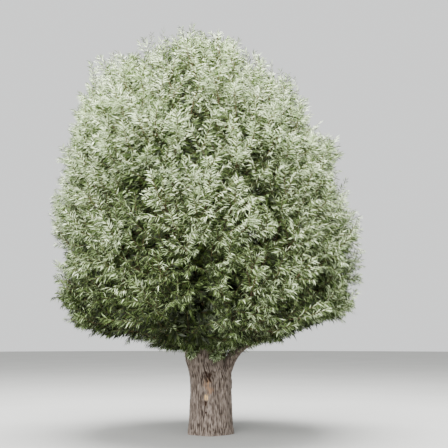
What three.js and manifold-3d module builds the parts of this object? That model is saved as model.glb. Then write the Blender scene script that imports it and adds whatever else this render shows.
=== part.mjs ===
// A pollard white willow, rooted in level ground: a short stout trunk with a knuckled head, poles that leave
// the head all round, and a dense silvery crown made of one mass of foliage at the end of each pole.
// Millimetres, +Z up. The origin is the middle of the flat cut under the trunk, and -Y is the side that is
// seen in front.
import * as THREE from "three";
import Module from "manifold-3d";

const wasm = await Module();
wasm.setup();

// Driving sizes of the tree.
const TREE_HEIGHT = 6520; // top of the crown's even outline, before each mass swells or shrinks a little
const WIDEST_HEIGHT = 3000; // level at which the crown is widest
const SKIRT_HEIGHT = 1400; // level of the crown's underside
const CROWN_HALF_WIDTH = 2420; // crown's axis to its edge at the widest level
const DOME_POWER = 2; // an ellipse above the widest level
const SKIRT_POWER = 5; // squarer below it
const CROWN_SHIFT = -20; // sideways place of the crown's axis at its foot
const CROWN_LEAN = -0.11; // and its sideways run for each unit of height above LEAN_START
const LEAN_START = 2700;

// The trunk.
const TRUNK_RADIUS = 317; // at the waist, between the furrows
const WAIST_HEIGHT = 620;
const TRUNK_TAPER = 0.035; // growth of the radius for each unit of height away from the waist
const ROOT_FLARE = 24;
const FLARE_FADE = 110; // height over which the root flare fades
const ROOT_RIDGE = 16;
const RIDGE_FADE = 210;
const ROOT_COUNT = 5;
const FLUTE_DEPTH = 9;
const HEAD_SHIFT = -86; // sideways place of the pollard head, which leans away from the low limb
const HEAD_NARROWING = 32; // loss of radius where the low limb has left
const HEAD_START = 800;
const HEAD_FULL = 1200; // level at which the head stands in its place
const HEAD_CLOSING = 1290; // and at which it starts to close
const HEAD_TOP = 1490;
const KNUCKLE_DEPTH = 20;
const TRUNK_SIDES = 28;
const TRUNK_LEVELS = 11; // rings from the ground to where the head starts to close
const HEAD_LEVELS = 4; // rings that close the head
const CLEARANCE = 0.35; // gap between a limb and the wood that it meets

// The long wound in the front of the trunk, where the bark has gone.
const WOUND_ANGLE = -1.77; // round the trunk, in radians from +X
const WOUND_MIDDLE = 655;
const WOUND_HALF_HEIGHT = 330;
const WOUND_HALF_WIDTH = 62;
const WOUND_DEPTH = 30;

// All limbs point away from the hub, the heart of the pollard head.
const HUB = new THREE.Vector3(HEAD_SHIFT, 0, 1150);
const CELL_MARGIN = 7; // half of the gap that two masses of foliage keep

// Rings of masses, from the lowest. level: height of the ring on the crown's surface; count: masses in it;
// turn: place of its first mass; start: hub to the inner end of a mass; seat and seatHeight: where its poles
// are rooted in the head; rise: how steeply they leave it; girth: their radius there; droop: how far the
// shoots of its masses sag.
const RINGS = [
  { name: "skirt", level: 2080, count: 8, turn: -0.393, start: 780, seat: 240, seatHeight: 1270, rise: 0.74,
    girth: 42, droop: 0.16 },
  { name: "waist", level: 3300, count: 8, turn: 0, start: 1150, seat: 212, seatHeight: 1370, rise: 1.02,
    girth: 42, droop: 0.1 },
  { name: "shoulder", level: 4950, count: 6, turn: 0.1, start: 1600, seat: 146, seatHeight: 1420, rise: 1.3,
    girth: 38, droop: 0.05 },
  { name: "crown", level: 6000, count: 4, turn: 0.6, start: 2100, seat: 76, seatHeight: 1440, rise: 1.45,
    girth: 32, droop: 0.02 },
  { name: "top", level: 6519, count: 1, turn: 0, start: 2500, seat: 0, seatHeight: 1440, rise: 1.57,
    girth: 32, droop: 0 },
];
const TURN_JITTER = 0.09;
const LEVEL_JITTER = 90;
const REACH_JITTER = 0.035; // share by which a mass stands out of the crown's even outline, or falls short
const MASS_DOME = 0.035; // share by which the edge of a mass falls short of its middle
const POLE_TAPER = 0.62; // tip radius of a pole over its radius at the head
const POLE_SIDES = 6;
const POLE_STEPS = 3;

// The stout low limb on the right, in front, which leaves the trunk below the head.
const LIMB_RING = "skirt";
const LIMB_INDEX = 0;
const LIMB_ROOT = new THREE.Vector3(205, -50, 820);
const LIMB_GIRTH = 96;
const LIMB_TAPER = 0.68;
const LIMB_RISE = 1.35;

// One mass of foliage.
const STEM_SHARE = 0.5; // length of the stem over the depth of its mass
const STEM_BARE = 70; // length of the stem that shows below the core
const CORE_RINGS = [[0, 0.4], [0.4, 0.86], [0.86, 0.9], [1, 0.52]]; // [depth, spread] shares
const CORE_SIDES = 7;
const CORE_SHELL = 600; // outer end of the core to the furthest leaf tips
const CORE_ROUGHNESS = 0.12;
const SHOOTS = 6; // leafy shoots that stand out of the core
const SHOOT_SPREAD = 0.86;
const SHOOT_RADIUS = 26; // where it leaves the stem
const SHOOT_TAPER = 0.5;
const SHOOT_KNEE = 0.55; // place of the bend of a shoot
const LEAF_PLACES = [17, 62, 112]; // distance of each leaf's root below the tip of its shoot
const LEAF_LENGTH = 450; // each leaf here stands for a spray of the tree's own
const LEAF_WIDTH = 0.26; // width over length
const LEAF_THICKNESS = 0.03; // thickness over length
const LEAF_SUNK = 5; // length of a leaf's root past the middle of its twig
const LEAF_SPLAY = 0.8; // sideways run of the lower leaves of a shoot, for each unit along it
const LEAF_SHRINK = 0.8; // a leaf that leaves its space is tried again at this share of its length
const LEAF_TRIES = 4;
const GOLDEN_ANGLE = Math.PI * (3 - Math.sqrt(5));
const THIRD_TURN = (2 * Math.PI) / 3;

// Tufts of young shoots that hang on the head, at [angle round the trunk, height, length].
const TUFTS = [[-0.95, 1200, 220], [-2.25, 1240, 230], [1.6, 1215, 220]];
const TUFT_STEM = 16;
const TUFT_SUNK = 40; // length of the stem inside the bark, which is cut away
const TUFT_REACH = 0.45; // length of the stem outside it, over the length of a leaf
const TUFT_LEAVES = 7;
const TUFT_OUTWARD = [0.35, 0.25]; // run of a leaf away from the bark: the least, and what a draw adds
const TUFT_FALL = [-0.75, 0.9]; // and its rise or fall
const TUFT_FAN = 2.1; // and its spread to either side

const BARK = new THREE.MeshStandardMaterial({ color: 0x80756a, roughness: 0.95, metalness: 0 });
const POLE_BARK = new THREE.MeshStandardMaterial({ color: 0x6f6556, roughness: 0.85, metalness: 0 });
const FOLIAGE = new THREE.MeshStandardMaterial({ color: 0x97a184, roughness: 0.7, metalness: 0 });

const smoothstep = (x, low, high) => THREE.MathUtils.smoothstep(x, low, high);

// A repeatable draw between 0 and 1 for a pair of whole numbers.
function draw(a, b) {
  const x = Math.sin(a * 12.9898 + b * 78.233) * 43758.5453;
  return x - Math.floor(x);
}

const jitter = (a, b) => 2 * draw(a, b) - 1;

// A closed solid from points and triangles, turned the right way out.
function solidOf(points, triangles) {
  const vertProperties = new Float32Array(points.flatMap((p) => [p.x, p.y, p.z]));
  const build = (order) =>
    new wasm.Manifold(new wasm.Mesh({ numProp: 3, vertProperties, triVerts: new Uint32Array(order) }));
  const solid = build(triangles.flat());
  return solid.volume() > 0 ? solid : build(triangles.flatMap(([a, b, c]) => [a, c, b]));
}

// A solid through rings of points of one length, closed by a fan at each end.
function loft(rings) {
  const sides = rings[0].length;
  const points = rings.flat();
  const triangles = [];
  for (let r = 0; r + 1 < rings.length; r++) {
    for (let s = 0; s < sides; s++) {
      const a = r * sides + s;
      const b = r * sides + ((s + 1) % sides);
      triangles.push([a, b, a + sides], [b, b + sides, a + sides]);
    }
  }
  const last = (rings.length - 1) * sides;
  for (let s = 1; s + 1 < sides; s++) {
    triangles.push([0, s + 1, s], [last, last + s, last + s + 1]);
  }
  return solidOf(points, triangles);
}

// A round limb that tapers along a curve.
function limb(curve, rootRadius, tipRadius, sides, steps) {
  const rings = [];
  const tangent = curve.getTangentAt(0);
  const side = new THREE.Vector3(tangent.z, 0, -tangent.x);
  if (side.lengthSq() < 1e-6) side.set(1, 0, 0);
  for (let i = 0; i <= steps; i++) {
    const along = curve.getTangentAt(i / steps);
    const u = side.clone().addScaledVector(along, -side.dot(along)).normalize();
    const v = along.clone().cross(u);
    const radius = THREE.MathUtils.lerp(rootRadius, tipRadius, i / steps);
    const centre = curve.getPointAt(i / steps);
    const point = (a) =>
      centre.clone().addScaledVector(u, radius * Math.cos(a)).addScaledVector(v, radius * Math.sin(a));
    rings.push(Array.from({ length: sides }, (_, s) => point((2 * Math.PI * s) / sides)));
  }
  return loft(rings);
}

// A direction square to another, turned round it.
function squareTo(along, turn) {
  const u = new THREE.Vector3(along.y, -along.x, 0.01).cross(along).normalize();
  const v = along.clone().cross(u);
  return u.multiplyScalar(Math.cos(turn)).addScaledVector(v, Math.sin(turn));
}

// A three-sided tapering twig through its bends.
function twig(path, radius, taper) {
  const rings = path.map((point, i) => {
    const along = path[Math.min(i + 1, path.length - 1)].clone().sub(path[Math.max(i - 1, 0)]).normalize();
    const r = THREE.MathUtils.lerp(radius, radius * taper, i / (path.length - 1));
    return [0, 1, 2].map((s) => point.clone().addScaledVector(squareTo(along, s * THIRD_TURN), r));
  });
  return loft(rings);
}

// The biggest body of a solid: what a skipped leaf or a cut leaves loose is dropped.
function largest(solid) {
  const bodies = solid.decompose();
  return bodies.reduce((best, body) => (body.volume() > best.volume() ? body : best));
}

// A leaf of eight faces, with its root sunk in at a point of a twig.
function leafPoints(root, direction, flat, length) {
  const across = flat.clone().cross(direction).normalize();
  const normal = direction.clone().cross(across).normalize();
  const middle = root.clone().addScaledVector(direction, 0.48 * length);
  const at = (axis, distance) => middle.clone().addScaledVector(axis, distance);
  const halfWidth = (LEAF_WIDTH * length) / 2;
  const halfThickness = (LEAF_THICKNESS * length) / 2;
  return [
    root.clone().addScaledVector(direction, -LEAF_SUNK),
    root.clone().addScaledVector(direction, length),
    at(across, halfWidth),
    at(normal, halfThickness),
    at(across, -halfWidth),
    at(normal, -halfThickness),
  ];
}

const LEAF_FACES = [0, 1].flatMap((end) =>
  [2, 3, 4, 5].map((a) => {
    const b = a === 5 ? 2 : a + 1;
    return end ? [1, a, b] : [0, b, a];
  }),
);

// The crown's axis and half-width at a height.
const crownAxis = (z) => CROWN_SHIFT + CROWN_LEAN * Math.max(0, z - LEAN_START);

function crownHalfWidth(z) {
  const above = z > WIDEST_HEIGHT;
  const span = above ? TREE_HEIGHT - WIDEST_HEIGHT : WIDEST_HEIGHT - SKIRT_HEIGHT;
  const power = above ? DOME_POWER : SKIRT_POWER;
  const share = Math.min(1, Math.abs(z - WIDEST_HEIGHT) / span);
  return CROWN_HALF_WIDTH * (1 - share ** power) ** (1 / power);
}

// Hub to the crown's surface along a direction: the last point inside the outline.
function crownReach(direction) {
  const inside = (r) => {
    const p = HUB.clone().addScaledVector(direction, r);
    return Math.hypot(p.x - crownAxis(p.z), p.y) < crownHalfWidth(p.z);
  };
  const step = 40;
  let far = TREE_HEIGHT;
  while (far > step && !inside(far)) far -= step;
  let near = far;
  far += step;
  for (let i = 0; i < 12; i++) {
    const middle = (near + far) / 2;
    if (inside(middle)) near = middle;
    else far = middle;
  }
  return near;
}

// How far the trunk has gone over into its head at a height, from 0 to 1.
const headShare = (z) => smoothstep(z, HEAD_START, HEAD_FULL);

// Radius of the trunk round its axis, at an angle and a height.
function trunkRadius(angle, z) {
  const waist = TRUNK_RADIUS + TRUNK_TAPER * Math.abs(z - WAIST_HEIGHT);
  const flare = ROOT_FLARE * Math.exp(-z / FLARE_FADE);
  const roots = ROOT_RIDGE * Math.exp(-z / RIDGE_FADE) * Math.cos(ROOT_COUNT * angle + 0.8);
  const flutes = FLUTE_DEPTH * (Math.sin(7 * angle + 0.4) + Math.sin(3 * angle + z / 500));
  const knuckles = KNUCKLE_DEPTH * headShare(z) * Math.sin(9 * angle + 1.1) * Math.cos(z / 90);
  const across = (waist * (angle - WOUND_ANGLE)) / WOUND_HALF_WIDTH;
  const along = (z - WOUND_MIDDLE) / WOUND_HALF_HEIGHT;
  const wound = WOUND_DEPTH * Math.max(0, 1 - across ** 2) * Math.max(0, 1 - along ** 4);
  return waist + flare + roots + flutes + knuckles - HEAD_NARROWING * headShare(z) - wound;
}

// A point off the trunk's axis at an angle and a height.
function roundTrunk(angle, z, radius, height = z) {
  const centre = HEAD_SHIFT * headShare(z);
  return new THREE.Vector3(centre + radius * Math.cos(angle), radius * Math.sin(angle), height);
}

// The trunk from its flat cut to the closed head, grown by an even allowance.
function trunkSolid(allowance) {
  const ring = (z, share, height) =>
    Array.from({ length: TRUNK_SIDES }, (_, s) => {
      const angle = -Math.PI + (2 * Math.PI * s) / TRUNK_SIDES;
      return roundTrunk(angle, z, share * trunkRadius(angle, z) + allowance, height);
    });
  const rings = [];
  for (let i = 0; i <= TRUNK_LEVELS; i++) {
    const z = HEAD_CLOSING * (i / TRUNK_LEVELS) ** 1.1;
    rings.push(ring(z, 1, i ? z : -allowance));
  }
  for (let i = 1; i <= HEAD_LEVELS; i++) {
    const turn = (Math.PI / 2) * 0.93 * (i / HEAD_LEVELS);
    const z = HEAD_CLOSING + (HEAD_TOP - HEAD_CLOSING) * Math.sin(turn);
    rings.push(ring(z, Math.cos(turn) ** 0.8, z + allowance));
  }
  return loft(rings);
}

// Every mass of foliage, with its direction from the hub, in order from the skirt up.
function planMasses() {
  const masses = [];
  for (const ring of RINGS) {
    for (let i = 0; i < ring.count; i++) {
      const seed = masses.length + 1;
      const loose = ring.count > 1 ? 1 : 0; // the one mass at the top is held to its place
      const angle = ring.turn + (2 * Math.PI * i) / ring.count + loose * TURN_JITTER * jitter(seed, 1);
      const level = ring.level + loose * LEVEL_JITTER * jitter(seed, 2);
      const half = crownHalfWidth(level);
      const target = new THREE.Vector3(
        crownAxis(level) + half * Math.cos(angle),
        half * Math.sin(angle),
        level,
      );
      masses.push({
        name: loose ? `${ring.name}_${i + 1}` : ring.name,
        ring,
        seed,
        angle,
        stout: ring.name === LIMB_RING && i === LIMB_INDEX,
        axis: target.sub(HUB).normalize(),
        swell: 1 + loose * REACH_JITTER * jitter(seed, 3),
      });
    }
  }
  return masses;
}

const masses = planMasses();

// The space of a mass is the cone of directions that are nearer its own axis than any other's.
function insideCell(mass, point) {
  const p = point.clone().sub(HUB);
  if (p.length() < mass.ring.start + CELL_MARGIN || point.z < SKIRT_HEIGHT) return false;
  return masses.every((other) => {
    if (other === mass) return true;
    const between = mass.axis.clone().sub(other.axis).normalize();
    return p.dot(between) > CELL_MARGIN;
  });
}

// A direction at an angle off the axis of a mass, turned by spin round it.
function directionOff(mass, off, spin) {
  return mass.axis
    .clone()
    .multiplyScalar(Math.cos(off))
    .addScaledVector(mass.side, Math.sin(off) * Math.cos(spin))
    .addScaledVector(mass.up, Math.sin(off) * Math.sin(spin));
}

// How far off its axis a mass may spread, turned by spin: to its neighbours, or to the crown's underside.
function cellSpread(mass, spin) {
  const probe = 0.92 * mass.reach;
  let low = 0;
  let high = 0.7;
  for (let i = 0; i < 14; i++) {
    const middle = (low + high) / 2;
    const direction = directionOff(mass, middle, spin);
    const r = Math.min(probe, 0.97 * crownReach(direction));
    if (insideCell(mass, HUB.clone().addScaledVector(direction, r))) low = middle;
    else high = middle;
  }
  return low;
}

// Hub to the outermost leaf of a mass, at a share of the way from its axis to its edge.
const massReach = (mass, direction, share) =>
  crownReach(direction) * mass.swell * (1 - MASS_DOME * share ** 2);

for (const mass of masses) {
  mass.side = new THREE.Vector3(-Math.sin(mass.angle), Math.cos(mass.angle), 0);
  mass.up = mass.axis.clone().cross(mass.side).normalize();
  mass.side = mass.up.clone().cross(mass.axis).normalize();
  mass.reach = massReach(mass, mass.axis, 0);
  mass.foot = HUB.clone().addScaledVector(mass.axis, mass.ring.start);
}

// The curve of a pole, from its root in the head to the foot of its mass.
function poleCurve(mass) {
  const { ring, angle, stout, axis, foot } = mass;
  const root = stout ? LIMB_ROOT.clone() : roundTrunk(angle, ring.seatHeight, ring.seat);
  const rise = stout ? LIMB_RISE : ring.rise;
  const leaving = new THREE.Vector3(
    Math.cos(rise) * Math.cos(angle),
    Math.cos(rise) * Math.sin(angle),
    Math.sin(rise),
  );
  const pull = root.distanceTo(foot) / 3;
  return new THREE.CubicBezierCurve3(
    root,
    root.clone().addScaledVector(leaving, pull * 1.1),
    foot.clone().addScaledVector(axis, -pull),
    foot,
  );
}

const poleGirth = (mass) => (mass.stout ? LIMB_GIRTH : mass.ring.girth);
const tipGirth = (mass) => poleGirth(mass) * (mass.stout ? LIMB_TAPER : POLE_TAPER);

function pole(mass, wood) {
  return limb(poleCurve(mass), poleGirth(mass), tipGirth(mass), POLE_SIDES, POLE_STEPS).subtract(wood);
}

// The stem of a mass and the dense core that hides its upper part, and fills most of the cone.
function core(mass) {
  const spins = Array.from({ length: CORE_SIDES }, (_, s) => (2 * Math.PI * s) / CORE_SIDES);
  const inner = mass.ring.start + STEM_BARE;
  const stem = [mass.ring.start + CLEARANCE, inner].map((r) =>
    spins.map((spin) =>
      HUB.clone()
        .addScaledVector(mass.axis, r)
        .addScaledVector(directionOff(mass, Math.PI / 2, spin), tipGirth(mass)),
    ),
  );
  const lobe = CORE_RINGS.map(([depth, spread], k) =>
    spins.map((spin, s) => {
      const rough = 1 - CORE_ROUGHNESS * draw(mass.seed * 7 + k, s);
      const direction = directionOff(mass, cellSpread(mass, spin) * spread * rough, spin);
      const outer = massReach(mass, direction, spread) - CORE_SHELL;
      return HUB.clone().addScaledVector(direction, THREE.MathUtils.lerp(inner + STEM_BARE, outer, depth));
    }),
  );
  return loft([...stem, ...lobe]);
}

// The bends of a shoot, which leaves the stem and turns out to the surface of its mass.
function shootPath(mass, index) {
  const share = SHOOT_SPREAD * Math.sqrt(index / (SHOOTS - 1));
  const spin = GOLDEN_ANGLE * index + mass.seed;
  const off = cellSpread(mass, spin) * share;
  const direction = directionOff(mass, off, spin);
  const outer = massReach(mass, direction, share);
  const tip = HUB.clone().addScaledVector(direction, outer - LEAF_LENGTH);
  const leave = mass.ring.start + (mass.reach - mass.ring.start) * STEM_SHARE * (1 - 0.7 * share);
  const root = HUB.clone().addScaledVector(mass.axis, leave);
  const length = root.distanceTo(tip);
  const knee = root.clone().lerp(tip, SHOOT_KNEE).addScaledVector(mass.axis, 0.06 * length);
  return [root, knee, tip];
}

const fits = (mass, points) => points.every((p) => insideCell(mass, p));

// The leaves of a shoot: one at its tip and the rest on either side below it.
function shootLeaves(mass, [, knee, tip], index) {
  const leaves = [];
  const along = tip.clone().sub(knee).normalize();
  for (const [k, place] of LEAF_PLACES.entries()) {
    const root = tip.clone().addScaledVector(along, -place);
    const aside = squareTo(along, THIRD_TURN * (k + index + 0.5));
    const direction = along.clone().addScaledVector(aside, k ? LEAF_SPLAY : 0);
    direction.z -= mass.ring.droop;
    direction.normalize();
    const flat = k ? along : aside;
    let length = LEAF_LENGTH * (1 - 0.2 * draw(mass.seed + 3 * k, index) * Math.sign(k));
    for (let tries = 0; tries < LEAF_TRIES; tries++) {
      const points = leafPoints(root, direction, flat, length);
      if (fits(mass, points)) {
        leaves.push(solidOf(points, LEAF_FACES));
        break;
      }
      length *= LEAF_SHRINK;
    }
  }
  return leaves;
}

// One mass: its stem and core, and leafy shoots that stand out all over it.
function foliage(mass) {
  const parts = [core(mass)];
  for (let i = 0; i < SHOOTS; i++) {
    const path = shootPath(mass, i);
    if (!fits(mass, path)) continue;
    parts.push(twig(path, SHOOT_RADIUS, SHOOT_TAPER), ...shootLeaves(mass, path, i));
  }
  return largest(wasm.Manifold.union(parts));
}

// A tuft of young shoots on the head: a short stem out of the bark, with leaves that hang from it.
function tuft([angle, height, length], index, wood) {
  const outward = new THREE.Vector3(Math.cos(angle), Math.sin(angle), 0);
  const bark = trunkRadius(angle, height);
  const root = roundTrunk(angle, height, bark - TUFT_SUNK);
  const tip = roundTrunk(angle, height, bark + TUFT_REACH * length, height + TUFT_STEM);
  const across = new THREE.Vector3(-outward.y, outward.x, 0);
  const parts = [limb(new THREE.LineCurve3(root, tip), TUFT_STEM, TUFT_STEM * 0.7, 5, 1)];
  const between = ([least, more], share) => least + more * share;
  for (let k = 0; k < TUFT_LEAVES; k++) {
    const fan = (k - (TUFT_LEAVES - 1) / 2) / TUFT_LEAVES;
    const direction = outward
      .clone()
      .multiplyScalar(between(TUFT_OUTWARD, draw(index, k)))
      .addScaledVector(across, TUFT_FAN * fan)
      .setZ(between(TUFT_FALL, draw(index + 5, k)))
      .normalize();
    const from = root.clone().lerp(tip, 0.72 + 0.24 * draw(k, index));
    const leaf = leafPoints(from, direction, outward, length * (0.8 + 0.3 * draw(k, index + 9)));
    parts.push(solidOf(leaf, LEAF_FACES));
  }
  return largest(wasm.Manifold.union(parts).subtract(wood));
}

// A named mesh of the tree from a solid.
function meshOf(name, solid, material) {
  const { vertProperties, triVerts } = solid.getMesh();
  const geometry = new THREE.BufferGeometry();
  geometry.setAttribute("position", new THREE.BufferAttribute(vertProperties, 3));
  geometry.setIndex(new THREE.BufferAttribute(triVerts, 1));
  geometry.computeVertexNormals();
  const mesh = new THREE.Mesh(geometry, material);
  mesh.name = name;
  return mesh;
}

const tree = new THREE.Group();
tree.name = "pollard_willow";
tree.add(meshOf("trunk", trunkSolid(0), BARK));
const wood = trunkSolid(CLEARANCE);
for (const mass of masses) {
  tree.add(meshOf(mass.stout ? "limb_right" : `pole_${mass.name}`, pole(mass, wood), POLE_BARK));
  tree.add(meshOf(`foliage_${mass.name}`, foliage(mass), FOLIAGE));
}
TUFTS.forEach((place, i) => tree.add(meshOf(`tuft_${i + 1}`, tuft(place, i, wood), FOLIAGE)));

export default tree;
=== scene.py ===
"""Looks of a pollard white willow in summer leaf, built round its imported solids.

The trunk and the stout low limb get a furrowed bark modelled as relief. Each mass of foliage becomes its
pole's stem, branches, twigs and narrow silvery leaves, by the rule that made the solids. Metres, +Z up, and
the side that is seen in front faces -Y.
"""

import logging
import math
from abc import ABC, abstractmethod
from collections.abc import Callable, Sequence
from dataclasses import dataclass, field, fields
from enum import Enum, IntEnum

import bpy
import numpy as np
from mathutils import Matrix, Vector, noise


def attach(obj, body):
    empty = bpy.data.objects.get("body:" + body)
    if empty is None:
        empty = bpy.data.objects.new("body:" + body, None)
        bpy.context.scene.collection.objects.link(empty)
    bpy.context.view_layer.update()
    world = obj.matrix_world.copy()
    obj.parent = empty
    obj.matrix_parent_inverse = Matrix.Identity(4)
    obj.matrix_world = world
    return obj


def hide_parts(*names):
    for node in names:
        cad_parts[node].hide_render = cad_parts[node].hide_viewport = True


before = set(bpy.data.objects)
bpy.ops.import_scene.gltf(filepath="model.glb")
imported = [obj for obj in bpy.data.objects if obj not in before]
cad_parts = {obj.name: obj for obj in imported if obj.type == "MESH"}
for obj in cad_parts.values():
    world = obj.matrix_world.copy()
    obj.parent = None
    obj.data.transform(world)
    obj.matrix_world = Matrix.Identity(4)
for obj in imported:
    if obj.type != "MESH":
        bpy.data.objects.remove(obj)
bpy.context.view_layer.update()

log = logging.getLogger("willow")

Array = np.ndarray
Range = tuple[float, float]
Place = tuple[float, float, float]
Colour = tuple[float, float, float, float]
Rng = np.random.Generator
Material = bpy.types.Material
Node = bpy.types.Node
Object = bpy.types.Object
Socket = bpy.types.NodeSocket
Sockets = bpy.types.bpy_prop_collection
Tree = bpy.types.ShaderNodeTree
Inputs = dict[str | int, object]

BODY = "root"
TUFTS = ("tuft_1", "tuft_2", "tuft_3")
GOLDEN_ANGLE = math.pi * (3 - math.sqrt(5))
RIGHT, BACK, UP = np.eye(3)
STEEP = 0.9  # share of a direction that points up, above which its sides are measured from the right
SHORTEST = 1e-9  # keeps the length of a direction above zero
LEAST = 0.01  # keeps other divisors above zero
DRAW_RATES = (12.9898, 78.233)
DRAW_SPREAD = 43758.5453
CRISP = (0.2, 0.8)  # below the first a crisp value is 0, and above the second it is 1
FRACTAL = (1.0, 2.0)  # how fast the finer layers of noise fade, and how much finer each one is
COLOR_A, COLOR_B, COLOR_OUT = 6, 7, 2  # the colour sockets of a Mix node


class Slot(str, Enum):
    """Material slots of the record."""

    BARK = "bark"
    POLE_BARK = "pole_bark"
    FOLIAGE = "foliage"


class Solid(str, Enum):
    """The kinds of solids of which each mass has one."""

    POLE = "pole"
    FOLIAGE = "foliage"


class Part(IntEnum):
    """Parts of the crown: its rings from the lowest up, the shoots round the head, and the shade inside."""

    SKIRT = 0
    WAIST = 1
    SHOULDER = 2
    CROWN = 3
    TOP = 4
    HEAD = 5
    INSIDE = 6


class DrawFor(IntEnum):
    """What a repeatable draw is for, by the numbers that the solids use."""

    TURN = 1
    LEVEL = 2
    REACH = 3
    STRETCH = 40  # for the first branch of a mass, and one more for each after it


# ---- numbers and directions ----


def draw(a: float, b: float) -> float:
    """A repeatable draw between 0 and 1 for a pair of whole numbers, the same as the solids use."""
    x = math.sin(a * DRAW_RATES[0] + b * DRAW_RATES[1]) * DRAW_SPREAD
    return x - math.floor(x)


def jitter(a: float, b: float) -> float:
    """A repeatable draw between -1 and 1."""
    return 2 * draw(a, b) - 1


def smoothstep(x: Array, low: float, high: float) -> Array:
    """0 below low, 1 above high, and an even turn between them."""
    share = np.clip((x - low) / (high - low), 0, 1)
    return share * share * (3 - 2 * share)


def crisp(values: Array) -> Array:
    """Values from 0 to 1 with more of them at either end."""
    return smoothstep(values, *CRISP)


def between(ends: Range, share: Array) -> Array:
    """Values between two ends, at shares of the way."""
    return ends[0] + (ends[1] - ends[0]) * share


def unit(vectors: Array) -> Array:
    """The vectors at length one."""
    return vectors / np.maximum(np.linalg.norm(vectors, axis=-1, keepdims=True), SHORTEST)


def dot(a: Array, b: Array) -> Array:
    """Dot products of vectors, with the last axis kept."""
    return np.sum(a * b, axis=-1, keepdims=True)


def square_to(along: Array, wanted: Array) -> Array:
    """The part of one direction that is square to another, at length one."""
    return unit(wanted - along * dot(wanted, along))


def turned(first: Array, second: Array, angle: Array) -> Array:
    """Directions turned from a first one towards a second one that is square to it."""
    return first * np.cos(angle) + second * np.sin(angle)


def full_turn(count: int, start: float = 0.0) -> Array:
    """Even turns all the way round."""
    return np.linspace(start, start + 2 * math.pi, count, endpoint=False)


def bearing(angle: Array, rise: Array) -> Array:
    """Directions at a turn round +Z and a rise above level."""
    return np.stack([np.cos(angle) * np.cos(rise), np.sin(angle) * np.cos(rise), np.sin(rise)], -1)


def rings_round(along: Array, wanted: Array, turn: Array) -> Array:
    """Directions that stand out all round each step of a limb, the first of them towards a wanted side."""
    side = square_to(along, wanted)[..., None, :]
    return turned(side, np.cross(along[..., None, :], side), turn[:, None])


def bezier(start: Array, pull: Array, end: Array, t: Array) -> Array:
    """Points of a curve that leaves start towards pull and comes into end from it."""
    return (1 - t) ** 2 * start + 2 * t * (1 - t) * pull + t * t * end


def halved(low: Array, high: Array, holds: Callable[[Array], Array], times: int) -> Array:
    """The largest values for which something still holds.

    Args:
        low: values for which it holds.
        high: values for which it doesn't.
        holds: tells for which of some values it holds.
        times: how often the gap between them is halved.

    Returns:
        The values.
    """
    for _ in range(times):
        middle = (low + high) / 2
        held = holds(middle)
        low, high = np.where(held, middle, low), np.where(held, high, middle)
    return low


def linear(*display: int) -> Colour:
    """A display colour, each part 0 to 255, as the linear colour that the shader takes."""
    parts = [c / 255 for c in display]
    return *[c / 12.92 if c < 0.04045 else ((c + 0.055) / 1.055) ** 2.4 for c in parts], 1.0


@dataclass(frozen=True)
class SoftNoise:
    """Smooth noise, about -1 to 1."""

    scale: float  # lumps for each metre
    octaves: int  # layers, each finer than the last
    seed: float  # shift that gives another noise
    upright: float = 1.0  # below 1, the lumps are taller than wide

    def at(self, points: Array) -> Array:
        """The noise at many places.

        Args:
            points: places, with x, y and z on the last axis.

        Returns:
            One value for each place.
        """
        flat = (points * np.array([1, 1, self.upright])).reshape(-1, 3) * self.scale + self.seed
        basis = {"noise_basis": "PERLIN_ORIGINAL"}
        values = [noise.fractal(Vector(p), *FRACTAL, self.octaves, **basis) for p in flat.tolist()]
        return np.array(values).reshape(points.shape[:-1])


# ---- meshes from arrays ----


def new_object(name: str, data: bpy.types.ID) -> Object:
    """Puts an object in the scene.

    Args:
        name: its name.
        data: its mesh, light or camera.

    Returns:
        The object.
    """
    made = bpy.data.objects.new(name, data)
    bpy.context.scene.collection.objects.link(made)
    return made


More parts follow.
